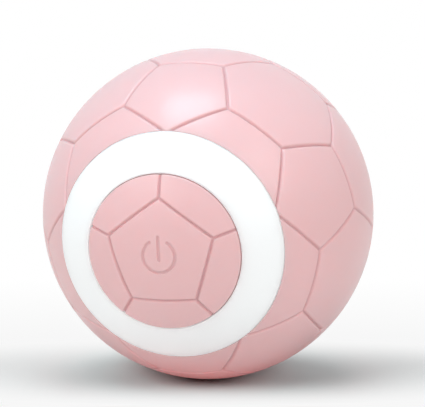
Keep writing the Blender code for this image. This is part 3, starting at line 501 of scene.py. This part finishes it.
def rim_order(directions, faces, angle):
    """Points of the open edge at one angle from -Y, sorted round the axle.

    A side that only one triangle has lies on an open edge.
    """
    sides = np.sort(np.vstack([faces[:, [0, 1]], faces[:, [1, 2]], faces[:, [2, 0]]]), axis=1)
    pairs, counts = np.unique(sides, axis=0, return_counts=True)
    ends = np.unique(pairs[counts == 1])
    ring = ends[np.abs(directions[ends, 1] + math.cos(angle)) < edge_band]
    turns = np.arctan2(directions[ring, 0], directions[ring, 2])
    return ring[np.argsort(turns)], np.sort(turns)


def carried_round(turns, radii, heights):
    """Rows of points at (radius, y) carried round the axle: (r sin(turn), y, r cos(turn))."""
    radii, heights = np.broadcast_arrays(np.asarray(radii)[:, None], np.asarray(heights)[:, None])
    turns = np.broadcast_to(turns, (len(radii), np.shape(turns)[-1]))
    return np.stack([radii * np.sin(turns), heights + 0 * turns, radii * np.cos(turns)], axis=-1)


def band_faces(rows):
    """Quads between neighbouring rows of a closed ring of point numbers."""
    rows = np.asarray(rows)
    onward = np.roll(rows, -1, axis=1)
    quads = np.stack([rows[:-1], onward[:-1], onward[1:], rows[1:]], axis=-1)
    return quads.reshape(-1, 4).tolist()


def numbered(rows, base=0):
    """Numbers for rows of points, counted on from base."""
    return base + np.arange(rows.shape[0] * rows.shape[1]).reshape(rows.shape[:2])


def joined_rings(first, first_turns, second, second_turns):
    """Triangles between two rings of point numbers with unlike counts, each sorted by turn.

    A side of one ring goes with the last point of the other ring that its far end has passed.
    """
    passed = np.searchsorted(second_turns, np.roll(first_turns, -1), "left") - 1
    passed_back = np.searchsorted(first_turns, np.roll(second_turns, -1), "right") - 1
    one = np.stack([first, np.roll(first, -1), second[passed]], axis=-1)
    two = np.stack([second, first[passed_back], np.roll(second, -1)], axis=-1)
    return one.tolist() + two.tolist()


def mark(piece, name, values):
    """Keep one number for each point of a piece, for its material to read."""
    layer = piece.data.attributes.new(name, "FLOAT", "POINT")
    layer.data.foreach_set("value", np.asarray(values, np.float32))


# Soft-touch pink
# Sleeve and caps are moulded in the same pale pink with a satin, faintly grainy skin. Grooves
# carry a painted shade of deeper pink, standing for the shade that falls between their walls.
soft_pink = (0.81, 0.495, 0.5)
# Painted shade: grooves take this deeper pink in proportion to their depth.
groove_shade_pink = (0.67, 0.38, 0.39)


def gloss_from(material, texture, low, high):
    """Let a texture move the material's roughness between two values."""
    gloss = node(material, "ShaderNodeMapRange", {"To Min": low, "To Max": high})
    shader = shader_of(material)
    plug(material, (texture, "Fac", gloss, "Value"), (gloss, "Result", shader, "Roughness"))


def raise_from(material, texture, strength, distance=0.00003):
    """Let a texture raise the material's skin."""
    bump = node(material, "ShaderNodeBump", {"Strength": strength, "Distance": distance})
    shader = shader_of(material)
    plug(material, (texture, "Fac", bump, "Height"), (bump, "Normal", shader, "Normal"))


def soft_touch(name, roughness):
    """Satin pink: broad noise tints it, the groove mark paints shade, fine noise gives relief and
    gloss.
    """
    made, shader, place = new_finish(name)
    broad = node(made, "ShaderNodeTexNoise", {"Scale": 90, "Detail": 3})
    fine = node(made, "ShaderNodeTexNoise", {"Scale": 7000, "Detail": 2})
    tint = two_tones(made, soft_pink, shaded(soft_pink, 0.965))
    depth = node(made, "ShaderNodeAttribute", attribute_name="groove")
    # Painted shade in the grooves, mixed in by the groove mark.
    painted_groove_shade = node(made, "ShaderNodeMix", {"B": (*groove_shade_pink, 1)}, data_type="RGBA")
    plug(
        made,
        (place, "Object", broad, "Vector"),
        (place, "Object", fine, "Vector"),
        (broad, "Fac", tint, "Factor"),
        (tint, "Result", painted_groove_shade, "A"),
        (depth, "Fac", painted_groove_shade, "Factor"),
        (painted_groove_shade, "Result", shader, "Base Color"),
    )
    gloss_from(made, fine, roughness - 0.04, roughness + 0.04)
    raise_from(made, fine, 0.12, 0.00002)
    fill(
        shader,
        {
            "Subsurface Weight": 0.35,
            "Subsurface Radius": (1, 0.35, 0.3),
            "Subsurface Scale": 0.002,
            "Specular IOR Level": 0.35,
            "Sheen Weight": 0.03,
            "Sheen Roughness": 0.5,
            "Coat Weight": 0.4,
            "Coat Roughness": 0.24,
        },
    )
    return made


sleeve_pink = soft_touch("sleeve_pink", 0.52)
cap_pink = soft_touch("cap_pink", 0.52)


# Sleeve
# One piece of soft rubber stretched over the drum, 1.6 mm thick, open at both ends round the
# light rings. The mould leaves the football grooves and a small round on each opening's edge.
sleeve_inner = 0.0199
opening_radius = 0.01496
opening_round = 0.00022
sleeve_grid = (16, 22)
wall_rows = 10


def sleeve_surface():
    """Outer football, then the openings' walls and the inside as rings of points.

    Outside: radius = R - groove - rounded edge, and never nearer the axle than the opening. Inside:
    each opening's wall drops straight to the inner sphere, and rings on it run from end to end.
    """
    start = angle_at(opening_radius)
    steps = opening_round / ball_radius * edge_steps
    rings = np.concatenate([start + steps, math.pi - start - steps])
    keep, cuts = (start, math.pi - start), [level(angle) for angle in rings]
    directions, faces = football_patch(*sleeve_grid, keep, cuts)
    depth = groove(seam_distance(directions))
    from_pole = np.arccos(np.clip(np.abs(directions[:, 1]), 0, 1))
    drop = rounded_edge((from_pole - start) * ball_radius, opening_round)
    outside = directions * (ball_radius - depth - drop)[:, None]
    reach = np.hypot(outside[:, 0], outside[:, 2])
    outside[:, [0, 2]] *= (np.maximum(reach, opening_radius) / reach)[:, None]

    front, turns = rim_order(directions, faces, start)
    rear, rear_turns = rim_order(directions, faces, math.pi - start)
    inner_start = angle_at(opening_radius, sleeve_inner)
    angles = np.linspace(inner_start, math.pi - inner_start, wall_rows + 1)
    inside = carried_round(turns, sleeve_inner * np.sin(angles), -sleeve_inner * np.cos(angles))
    numbers = numbered(inside, len(outside))
    points = np.vstack([outside, inside.reshape(-1, 3)])
    closed = faces.tolist() + band_faces(np.vstack([front, numbers]))
    closed += joined_rings(numbers[-1], turns, rear, rear_turns)
    return points, closed, np.append(depth, np.zeros(numbers.size))


sleeve_points, sleeve_faces, sleeve_depth = sleeve_surface()
sleeve = mesh_piece("football_sleeve", sleeve_points, sleeve_faces, sleeve_pink)
# The groove mark places the pink's painted groove shade.
mark(sleeve, "groove", sleeve_depth / groove_depth)
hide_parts("shell_skin")
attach(sleeve, "shell")


# Power button
# A satin pink cap that carries the front pentagon, five short grooves and a power symbol pressed
# into its middle. Its skirt and lip slide in the light ring, and a stem meets the switch.
cap_radius = 0.01019
cap_round = 0.00014
cap_wall = 0.0014
lip_top, lip_foot, lip_radius = 0.01606, 0.01526, 0.0114
skirt_bore = 0.009
dome_rows = 6
stem_radius, stem_top = 0.0011, 0.01585
button_grid, plain_grid = (44, 64), (22, 24)
symbol_radius, symbol_line, symbol_depth = 0.00215, 0.00026, 0.00017
symbol_opening = math.radians(33)
symbol_bar_top, symbol_bar_foot = 0.00254, 0.0005
symbol_soften = 0.0001


def symbol_distance(directions):
    """Distance on the cap from the lines of a generic power symbol.

    To the broken circle: | |p| - r |, or the distance to its nearer end inside the opening. To the
    bar: the distance to its segment. The symbol shares the pattern's turn.
    """
    sine, cosine = math.sin(pattern_turn), math.cos(pattern_turn)
    x, z = directions[:, 0] * ball_radius, directions[:, 2] * ball_radius
    across, along = np.abs(x * cosine - z * sine), x * sine + z * cosine
    reach = np.hypot(across, along)
    to_circle = np.abs(reach - symbol_radius)
    tip = (symbol_radius * math.sin(symbol_opening), symbol_radius * math.cos(symbol_opening))
    to_tip = np.hypot(across - tip[0], along - tip[1])
    open_part = np.arctan2(across, along) < symbol_opening
    to_bar = np.hypot(across, along - np.clip(along, -symbol_bar_foot, symbol_bar_top))
    return np.minimum(np.where(open_part, to_tip, to_circle), to_bar)


def pressed_line(distance):
    """Depth of the symbol: full within half the line's width, then 3s^2 - 2s^3 up to the skin."""
    share = np.clip((symbol_line / 2 + symbol_soften - distance) / symbol_soften, 0, 1)
    return symbol_depth * share**2 * (3 - 2 * share)


def symbol_cuts():
    """Planes that cut points along the slopes of the symbol's circle, bar and bar ends."""
    side = np.array([math.cos(pattern_turn), 0, -math.sin(pattern_turn)])
    rise = np.array([math.sin(pattern_turn), 0, math.cos(pattern_turn)])
    planes = []
    for share in (0, 0.25, 0.5, 0.75, 1):
        away = symbol_line / 2 + symbol_soften * share
        planes += [level(angle_at(symbol_radius + way * away)) for way in (-1, 1)]
        planes += [(side * way * away / ball_radius, side) for way in (-1, 1)]
        planes.append((rise * (symbol_bar_top + away) / ball_radius, rise))
        planes.append((-rise * (symbol_bar_foot + away) / ball_radius, rise))
    return planes


def cap_surface(first_angle, symbol):
    """Outer skin of a cap from one angle to its rim, with its grooves and round edge."""
    end = angle_at(cap_radius)
    cuts = [level(angle) for angle in end - cap_round / ball_radius * edge_steps]
    if symbol:
        cuts += symbol_cuts()
    grid = button_grid if symbol else plain_grid
    directions, faces = football_patch(*grid, (first_angle, end), cuts)
    depth = groove(seam_distance(directions))
    if symbol:
        depth = np.maximum(depth, pressed_line(symbol_distance(directions)))
    from_pole = np.arccos(np.clip(-directions[:, 1], -1, 1))
    drop = rounded_edge((end - from_pole) * ball_radius, cap_round)
    rim, turns = rim_order(directions, faces, end)
    return directions, faces, depth, drop, rim, turns


def button_surface():
    """Skin of the button closed by its skirt, lip, dome and stem, as a profile carried round."""
    directions, faces, depth, drop, rim, turns = cap_surface(0, True)
    outside = directions * (ball_radius - depth - drop)[:, None]
    inner = ball_radius - cap_wall
    dome = np.linspace(angle_at(skirt_bore, inner), angle_at(stem_radius, inner), dome_rows)
    radii = [cap_radius, lip_radius, lip_radius, skirt_bore, *inner * np.sin(dome), stem_radius]
    heights = [lip_top, lip_top, lip_foot, lip_foot, *inner * np.cos(dome), stem_top]
    inside = carried_round(turns, radii, -np.array(heights))
    numbers = numbered(inside, len(outside))
    points = np.vstack([outside, inside.reshape(-1, 3), [[0, -stem_top, 0]]])
    stem_end = fan_to(numbers[-1], len(points) - 1)
    everything = faces.tolist() + band_faces(np.vstack([rim, numbers])) + stem_end.tolist()
    return points, everything, np.append(depth, np.zeros(len(points) - len(depth)))


button_points, button_faces, button_depth = button_surface()
button = mesh_piece("power_button_cap", button_points, button_faces, cap_pink)
# The groove mark, symbol lines included, places the painted groove shade.
mark(button, "groove", np.minimum(button_depth / groove_depth, 1))
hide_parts("button_cap")
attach(button, "power_button")


# Light rings
# Milky white plastic that spreads the light of four lamps behind it. The rings are polished more
# than the pink parts, with small rounds where they meet the button and the sleeve.
ring_radius, ring_bore, ring_rim = 0.01492, 0.01023, 0.0137
ring_pocket, ring_foot, ring_shelf, ring_collar = 0.0123, 0.012774, 0.014324, 0.01636
ring_round = 0.0002
ring_bore_round = 0.00014
ring_columns, ring_rows = 160, 16
sharp_corner = math.radians(40)


def milky(name):
    """Translucent white: some light passes below the skin, with very faint clouding and a painted
    glow.
    """
    made, shader, place = new_finish(name)
    cloud = node(made, "ShaderNodeTexNoise", {"Scale": 160})
    tint = two_tones(made, (0.98, 0.985, 0.985), (0.96, 0.97, 0.97))
    plug(
        made,
        (place, "Object", cloud, "Vector"),
        (cloud, "Fac", tint, "Factor"),
        (tint, "Result", shader, "Base Color"),
    )
    gloss_from(made, cloud, 0.3, 0.36)
    fill(
        shader,
        {
            "Subsurface Weight": 0.7,
            "Subsurface Radius": (1, 1, 1),
            "Subsurface Scale": 0.003,
            # Painted light: the whole ring glows faintly and evenly, which lifts its white.
            "Emission Color": white,
            "Emission Strength": 0.09,
        },
    )
    return made


def quarter_round(middle_radius, middle_height, radius, start, end, steps=5):
    """Profile points on an arc: (m_r + r cos(angle), m_h + r sin(angle)), angles in degrees."""
    angles = np.radians(np.linspace(start, end, steps))
    return middle_radius + radius * np.cos(angles), middle_height + radius * np.sin(angles)


def ring_surface(side):
    """Closed profile of the ring carried round the axle.

    Outside is the ball's sphere between two round edges, which touch the sphere, the bore and the
    outer wall.
    """
    outer_middle = ring_radius - ring_round
    outer_height = math.sqrt((ball_radius - ring_round) ** 2 - outer_middle**2)
    bore_middle = ring_bore + ring_bore_round
    bore_height = math.sqrt((ball_radius - ring_bore_round) ** 2 - bore_middle**2)
    outer_lean = math.degrees(math.atan2(outer_height, outer_middle))
    bore_lean = math.degrees(math.atan2(bore_height, bore_middle))
    bore_round = quarter_round(bore_middle, bore_height, ring_bore_round, 180, bore_lean)
    outer_round = quarter_round(outer_middle, outer_height, ring_round, outer_lean, 0)
    angles = np.radians(np.linspace(bore_lean, outer_lean, ring_rows)[1:-1])
    radii = np.concatenate([bore_round[0], ball_radius * np.cos(angles), outer_round[0]])
    heights = np.concatenate([bore_round[1], ball_radius * np.sin(angles), outer_round[1]])
    radii = np.append(radii, [ring_radius, ring_rim, ring_rim, ring_pocket, ring_pocket, ring_bore])
    steps_down = [ring_foot, ring_foot, ring_shelf, ring_shelf, ring_collar, ring_collar]
    heights = np.append(heights, steps_down)
    turns = np.linspace(0, 2 * math.pi, ring_columns, endpoint=False)
    grid = carried_round(turns, radii, side * heights)
    numbers = numbered(grid)
    return grid.reshape(-1, 3), band_faces(np.vstack([numbers, numbers[:1]]))


ring_white = milky("ring_white")
front_ring = (-1, "light_ring_front", "glow_ring_front")
rear_ring = (1, "light_ring_rear", "glow_ring_rear")
for side, node_name, name in (front_ring, rear_ring):
    ring_points, ring_faces = ring_surface(side)
    glow_ring = mesh_piece(name, ring_points, ring_faces, ring_white)
    glow_ring.data.set_sharp_from_angle(angle=sharp_corner)
    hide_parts(node_name)
    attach(glow_ring, "core")


# Rear cap
# A fixed cap in the same pink, with a flat panel for the charging port's mouth. Skin, panel, the
# boss behind the panel and the skirt with its lip are moulded in one.
panel_radius, panel_thickness = 0.0056, 0.0013
panel_height = math.sqrt(ball_radius**2 - panel_radius**2)
boss_radius, board_face = 0.00662, 0.0135
mouth_width, mouth_height, mouth_round = 0.0095, 0.0038, 0.00025
panel_rows = np.array([0.04, 0.35, 0.7, 0.97])


def slot_ring(turns, width, height, grow=0):
    """Points (x, z) where rays from the middle meet a slot with round ends, then moved out by grow.

    r is half the height, and l half the straight part. A ray that meets a straight side is
    r / |cos| long, and otherwise l |sin| + sqrt(r^2 - (l cos)^2).
    """
    r, l = height / 2, (width - height) / 2
    side, rise = np.sin(turns), np.cos(turns)
    straight = r / np.maximum(np.abs(rise), 1e-9)
    at_end = l * np.abs(side) + np.sqrt(np.maximum(r**2 - (l * rise) ** 2, 0))
    reach = np.where(straight * np.abs(side) <= l, straight, at_end)
    x, z = reach * side, reach * rise
    middle = np.clip(x, -l, l)
    return x + grow * (x - middle) / r, z + grow * z / r


def slot_rows(turns, width, height, steps):
    """Rows of points on a slot, one for each (grow, y) step."""
    rows = []
    for grow, y in steps:
        x, z = slot_ring(turns, width, height, grow)
        rows.append(np.stack([x, np.full_like(x, y), z], axis=-1))
    return np.stack(rows)


def rear_cap_surface():
    """Skin with a flat panel, a mouth and the inside, made at -Y and then sent through the middle.

    Panel rows blend the skin's inner ring with the mouth: (1 - t) ring + t mouth.
    """
    start = angle_at(panel_radius)
    directions, faces, depth, drop, rim, rim_turns = cap_surface(start, False)
    outside = directions * (ball_radius - depth - drop)[:, None]
    ring, turns = rim_order(directions, faces, start)
    outside[ring] = directions[ring] * ball_radius
    depth[ring] = 0

    back_face = panel_height - panel_thickness
    inner = ball_radius - cap_wall
    bend = np.radians(np.linspace(0, 90, 5))
    grown, sunk = mouth_round * (1 - np.sin(bend)), mouth_round * (1 - np.cos(bend))
    lip = zip(grown, sunk - panel_height)
    mouth = slot_rows(turns, mouth_width, mouth_height, [*lip, (0, -back_face)])
    blend = panel_rows[:, None, None]
    panel = (1 - blend) * outside[ring][None] + blend * mouth[:1]
    panel[..., 1] = -panel_height
    dome = np.linspace(angle_at(boss_radius, inner), angle_at(skirt_bore, inner), dome_rows)
    radii = [panel_radius, panel_radius, boss_radius, *inner * np.sin(dome), skirt_bore]
    heights = [back_face, board_face, board_face, *inner * np.cos(dome), lip_foot]
    behind = carried_round(turns, radii, -np.array(heights))
    skirt_radii, skirt_heights = [cap_radius, lip_radius, lip_radius], [lip_top, lip_top, lip_foot]
    skirt = carried_round(rim_turns, skirt_radii, -np.array(skirt_heights))

    inward = np.concatenate([panel, mouth, behind])
    numbers = numbered(inward, len(outside))
    skirt_numbers = numbered(skirt, len(outside) + numbers.size)
    everything = faces.tolist() + band_faces(np.vstack([ring, numbers]))
    everything += band_faces(np.vstack([rim, skirt_numbers]))
    everything += joined_rings(numbers[-1], turns, skirt_numbers[-1], rim_turns)
    points = -np.vstack([outside, inward.reshape(-1, 3), skirt.reshape(-1, 3)])
    return points, everything, np.append(depth, np.zeros(len(points) - len(depth)))


rear_points, rear_faces, rear_depth = rear_cap_surface()
rear_cap = mesh_piece("port_cap", rear_points, rear_faces, cap_pink)
rear_cap.data.set_sharp_from_angle(angle=sharp_corner)
# The groove mark places the painted groove shade.
mark(rear_cap, "groove", np.minimum(rear_depth / groove_depth, 1))
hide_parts("rear_cap")
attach(rear_cap, "core")


# Charging port
# A small receptacle soldered to the rear board: a drawn steel shell with a rolled mouth round a
# black tongue, whose gilt contacts lie in a row on both of its faces.
port_width, port_height, port_wall = 0.0089, 0.0032, 0.0003
port_top, port_floor = 0.020458, 0.014
port_columns = 96
contact_pitch, contact_row, contact_start = 0.0005, 0.0029, 0.0162
tongue_black, contact_gilt = (0.02, 0.02, 0.022), (0.83, 0.6, 0.25)


def worked_metal(name, colour, roughness, stretch=(1, 1, 1), size=900, relief=0.08):
    """Bare metal: noise drawn out along the tool's way gives its tint, roughness and relief."""
    made, shader, place = new_finish(name)
    way = node(made, "ShaderNodeMapping", {"Scale": stretch})
    streak = node(made, "ShaderNodeTexNoise", {"Scale": size, "Detail": 4})
    tint = two_tones(made, colour, shaded(colour, 0.8))
    plug(
        made,
        (place, "Object", way, "Vector"),
        (way, "Vector", streak, "Vector"),
        (streak, "Fac", tint, "Factor"),
        (tint, "Result", shader, "Base Color"),
    )
    gloss_from(made, streak, roughness - 0.06, roughness + 0.1)
    raise_from(made, streak, relief)
    fill(shader, {"Metallic": 1})
    return made


def moulded(name, colour, roughness, size=2500, relief=0.1):
    """Moulded plastic: fine noise for the tool's grain, broad noise for a faint change of tint."""
    made, shader, place = new_finish(name)
    broad = node(made, "ShaderNodeTexNoise", {"Scale": 150})
    grain = node(made, "ShaderNodeTexNoise", {"Scale": size})
    tint = two_tones(made, colour, shaded(colour, 0.88))
    plug(
        made,
        (place, "Object", broad, "Vector"),
        (place, "Object", grain, "Vector"),
        (broad, "Fac", tint, "Factor"),
        (tint, "Result", shader, "Base Color"),
    )
    gloss_from(made, grain, roughness - 0.05, roughness + 0.07)
    raise_from(made, grain, relief)
    return made


def dress(material, *names):
    """Put a finish on solids that keep their shape."""
    for name in names:
        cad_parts[name].material_slots[0].material = material


def port_surface():
    """Shell with a blind mouth: slots grown and lifted step by step, closed at both middles."""
    turns = np.linspace(0, 2 * math.pi, port_columns, endpoint=False)
    half = port_wall / 2
    bend = np.radians(np.linspace(0, 180, 9))
    lip = [(half * (math.cos(b) - 1), port_top - half + half * math.sin(b)) for b in bend]
    steps = [(0, board_face), *lip, (-port_wall, port_floor)]
    rows = slot_rows(turns, port_width, port_height, steps)
    numbers = numbered(rows)
    points = np.vstack([rows.reshape(-1, 3), [[0, board_face, 0], [0, port_floor, 0]]])
    foot, floor = fan_to(numbers[0], numbers.size), fan_to(numbers[-1], numbers.size + 1)
    return points, band_faces(numbers) + foot.tolist() + floor.tolist()


def maths(material, operation, second=0.5):
    """Math node with its second number, which only some operations read."""
    return node(material, "ShaderNodeMath", {1: second}, operation=operation)


def contact_black(name):
    """Black tongue with gilt contacts: bars wherever the share of x over the pitch is under half.

    They lie within contact_row of the middle, and beyond contact_start along the axle.
    """
    made = moulded(name, tongue_black, 0.4)
    shader = shader_of(made)
    black = shader.inputs["Base Color"].links[0].from_node
    place = node(made, "ShaderNodeTexCoord")
    split = node(made, "ShaderNodeSeparateXYZ")
    pitch = maths(made, "DIVIDE", contact_pitch)
    share = maths(made, "FRACT")
    bar = maths(made, "LESS_THAN", 0.5)
    width = maths(made, "ABSOLUTE")
    row = maths(made, "LESS_THAN", contact_row)
    start = maths(made, "GREATER_THAN", contact_start)
    in_row = maths(made, "MULTIPLY")
    on_contact = maths(made, "MULTIPLY")
    gilt = node(made, "ShaderNodeMix", {"B": (*contact_gilt, 1)}, data_type="RGBA")
    plug(
        made,
        (place, "Object", split, "Vector"),
        (split, "X", pitch, 0),
        (pitch, "Value", share, 0),
        (share, "Value", bar, 0),
        (split, "X", width, 0),
        (width, "Value", row, 0),
        (split, "Y", start, 0),
        (bar, "Value", in_row, 0),
        (row, "Value", in_row, 1),
        (in_row, "Value", on_contact, 0),
        (start, "Value", on_contact, 1),
        (black, "Result", gilt, "A"),
        (on_contact, "Value", gilt, "Factor"),
        (gilt, "Result", shader, "Base Color"),
        (on_contact, "Value", shader, "Metallic"),
    )
    return made


port_points, port_faces = port_surface()
port_steel = worked_metal("port_steel", (0.66, 0.66, 0.67), 0.24)
port_shell = mesh_piece("port_shell", port_points, port_faces, port_steel)
port_shell.data.set_sharp_from_angle(angle=sharp_corner)
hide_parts("charge_port")
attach(port_shell, "core")
dress(contact_black("tongue_contacts"), "port_tongue")


# Drum and bearings
# The stiff two-part drum under the sleeve is moulded in white. Its plain bearings and its inside
# gear are moulded in acetal, which looks a little waxy.
dress(moulded("drum_plastic", (0.8, 0.8, 0.78), 0.42), "drum_front", "drum_rear")
waxy = moulded("waxy_acetal", (0.74, 0.72, 0.64), 0.33, size=1200, relief=0.05)
fill(shader_of(waxy), {"Subsurface Weight": 0.2, "Subsurface Scale": 0.001})
dress(waxy, "bearing_ring_front", "bearing_ring_rear", "ring_gear")


# Hubs and chassis
# The core's frame is moulded in black nylon with a spark-eroded grain. Plated steel screws hold
# the hubs on the chassis posts and the weight under its ears.
black_nylon = moulded("black_nylon", (0.03, 0.03, 0.033), 0.5, size=4000, relief=0.2)
dress(black_nylon, "front_hub", "rear_hub", "chassis")
screw_steel = worked_metal("plated_screw", (0.6, 0.6, 0.61), 0.3, size=2500)
screw_names = [f"{end}_hub_screw_{number}" for end in ("front", "rear") for number in range(1, 5)]
dress(screw_steel, *screw_names, "weight_screw_left", "weight_screw_right")


# Boards
# Two round boards under the caps: green solder mask over copper tracks, black switch and chips,
# and four small lamps each, of clear resin over a yellow phosphor.
track_scale = 420
mask_green, mask_light_green = (0.015, 0.13, 0.055, 1), (0.02, 0.16, 0.07, 1)
track_green = (0.05, 0.28, 0.12, 1)


def solder_mask(name):
    """Green lacquer over tracks: the joints of a brick pattern are paler and stand up a little."""
    made, shader, place = new_finish(name)
    laid = node(made, "ShaderNodeMapping", {"Rotation": (math.pi / 2, 0, 0)})
    colours = {"Color1": mask_green, "Color2": mask_light_green, "Mortar": track_green}
    bricks = {"Scale": track_scale, "Mortar Size": 0.05, **colours}
    tracks = node(made, "ShaderNodeTexBrick", bricks, offset=0.35, squash=0.7)
    speck = node(made, "ShaderNodeTexNoise", {"Scale": 1500})
    plug(
        made,
        (place, "Object", laid, "Vector"),
        (laid, "Vector", tracks, "Vector"),
        (place, "Object", speck, "Vector"),
        (tracks, "Color", shader, "Base Color"),
    )
    gloss_from(made, speck, 0.3, 0.45)
    raise_from(made, tracks, 0.3)
    return made


dress(solder_mask("solder_mask"), "main_board", "charge_board")
part_black = moulded("chip_black", (0.02, 0.02, 0.022), 0.45, size=5000, relief=0.15)
dress(part_black, "tact_switch", "switch_plunger", "control_chip", "charge_chip")
lamp_resin = moulded("lamp_resin", (0.9, 0.86, 0.66), 0.2, size=3000, relief=0.03)
fill(shader_of(lamp_resin), {"Coat Weight": 0.6})
dress(lamp_resin, *[f"{end}_led_{number}" for end in ("front", "rear") for number in range(1, 5)])


# Gear train
# The compound gears are moulded in acetal and turn on ground steel pins. The motor's pinion is
# cut from brass in one with its shaft.
dress(waxy, "first_gear", "second_gear")
ground_pin = worked_metal("ground_pin", (0.64, 0.64, 0.65), 0.22, (1, 12, 1), 1500)
dress(ground_pin, "first_gear_pin", "second_gear_pin")
dress(worked_metal("cut_brass", (0.7, 0.5, 0.2), 0.28, (1, 8, 1), 1500), "motor_pinion")


# Motor, battery and weight
# A small flat-sided motor in a drawn steel can hangs in a cast zinc cradle, whose weight keeps the
# core level. The battery is a pouch of crinkled foil in the chassis tray.
dress(worked_metal("drawn_can", (0.6, 0.6, 0.61), 0.3, (1, 0.12, 1), 1400), "motor_can")
dress(moulded("motor_end_white", (0.75, 0.75, 0.72), 0.45), "motor_end_cap")
dress(worked_metal("cast_zinc", (0.42, 0.43, 0.45), 0.48, size=1600, relief=0.5), "counterweight")
foil = worked_metal("pouch_foil", (0.56, 0.57, 0.6), 0.34, size=500, relief=0.6)
fill(shader_of(foil), {"Metallic": 0.7})
dress(foil, "battery")


# Wires
# Six stranded leads in soft insulation, red for plus and black for minus, run from the boards to
# the battery, the motor and the charging board.
red_skin = moulded("red_insulation", (0.55, 0.03, 0.03), 0.42, size=1800, relief=0.06)
black_skin = moulded("black_insulation", (0.02, 0.02, 0.02), 0.42, size=1800, relief=0.06)
dress(red_skin, "charge_wire_plus", "motor_wire_plus", "battery_wire_plus")
dress(black_skin, "charge_wire_minus", "motor_wire_minus", "battery_wire_minus")
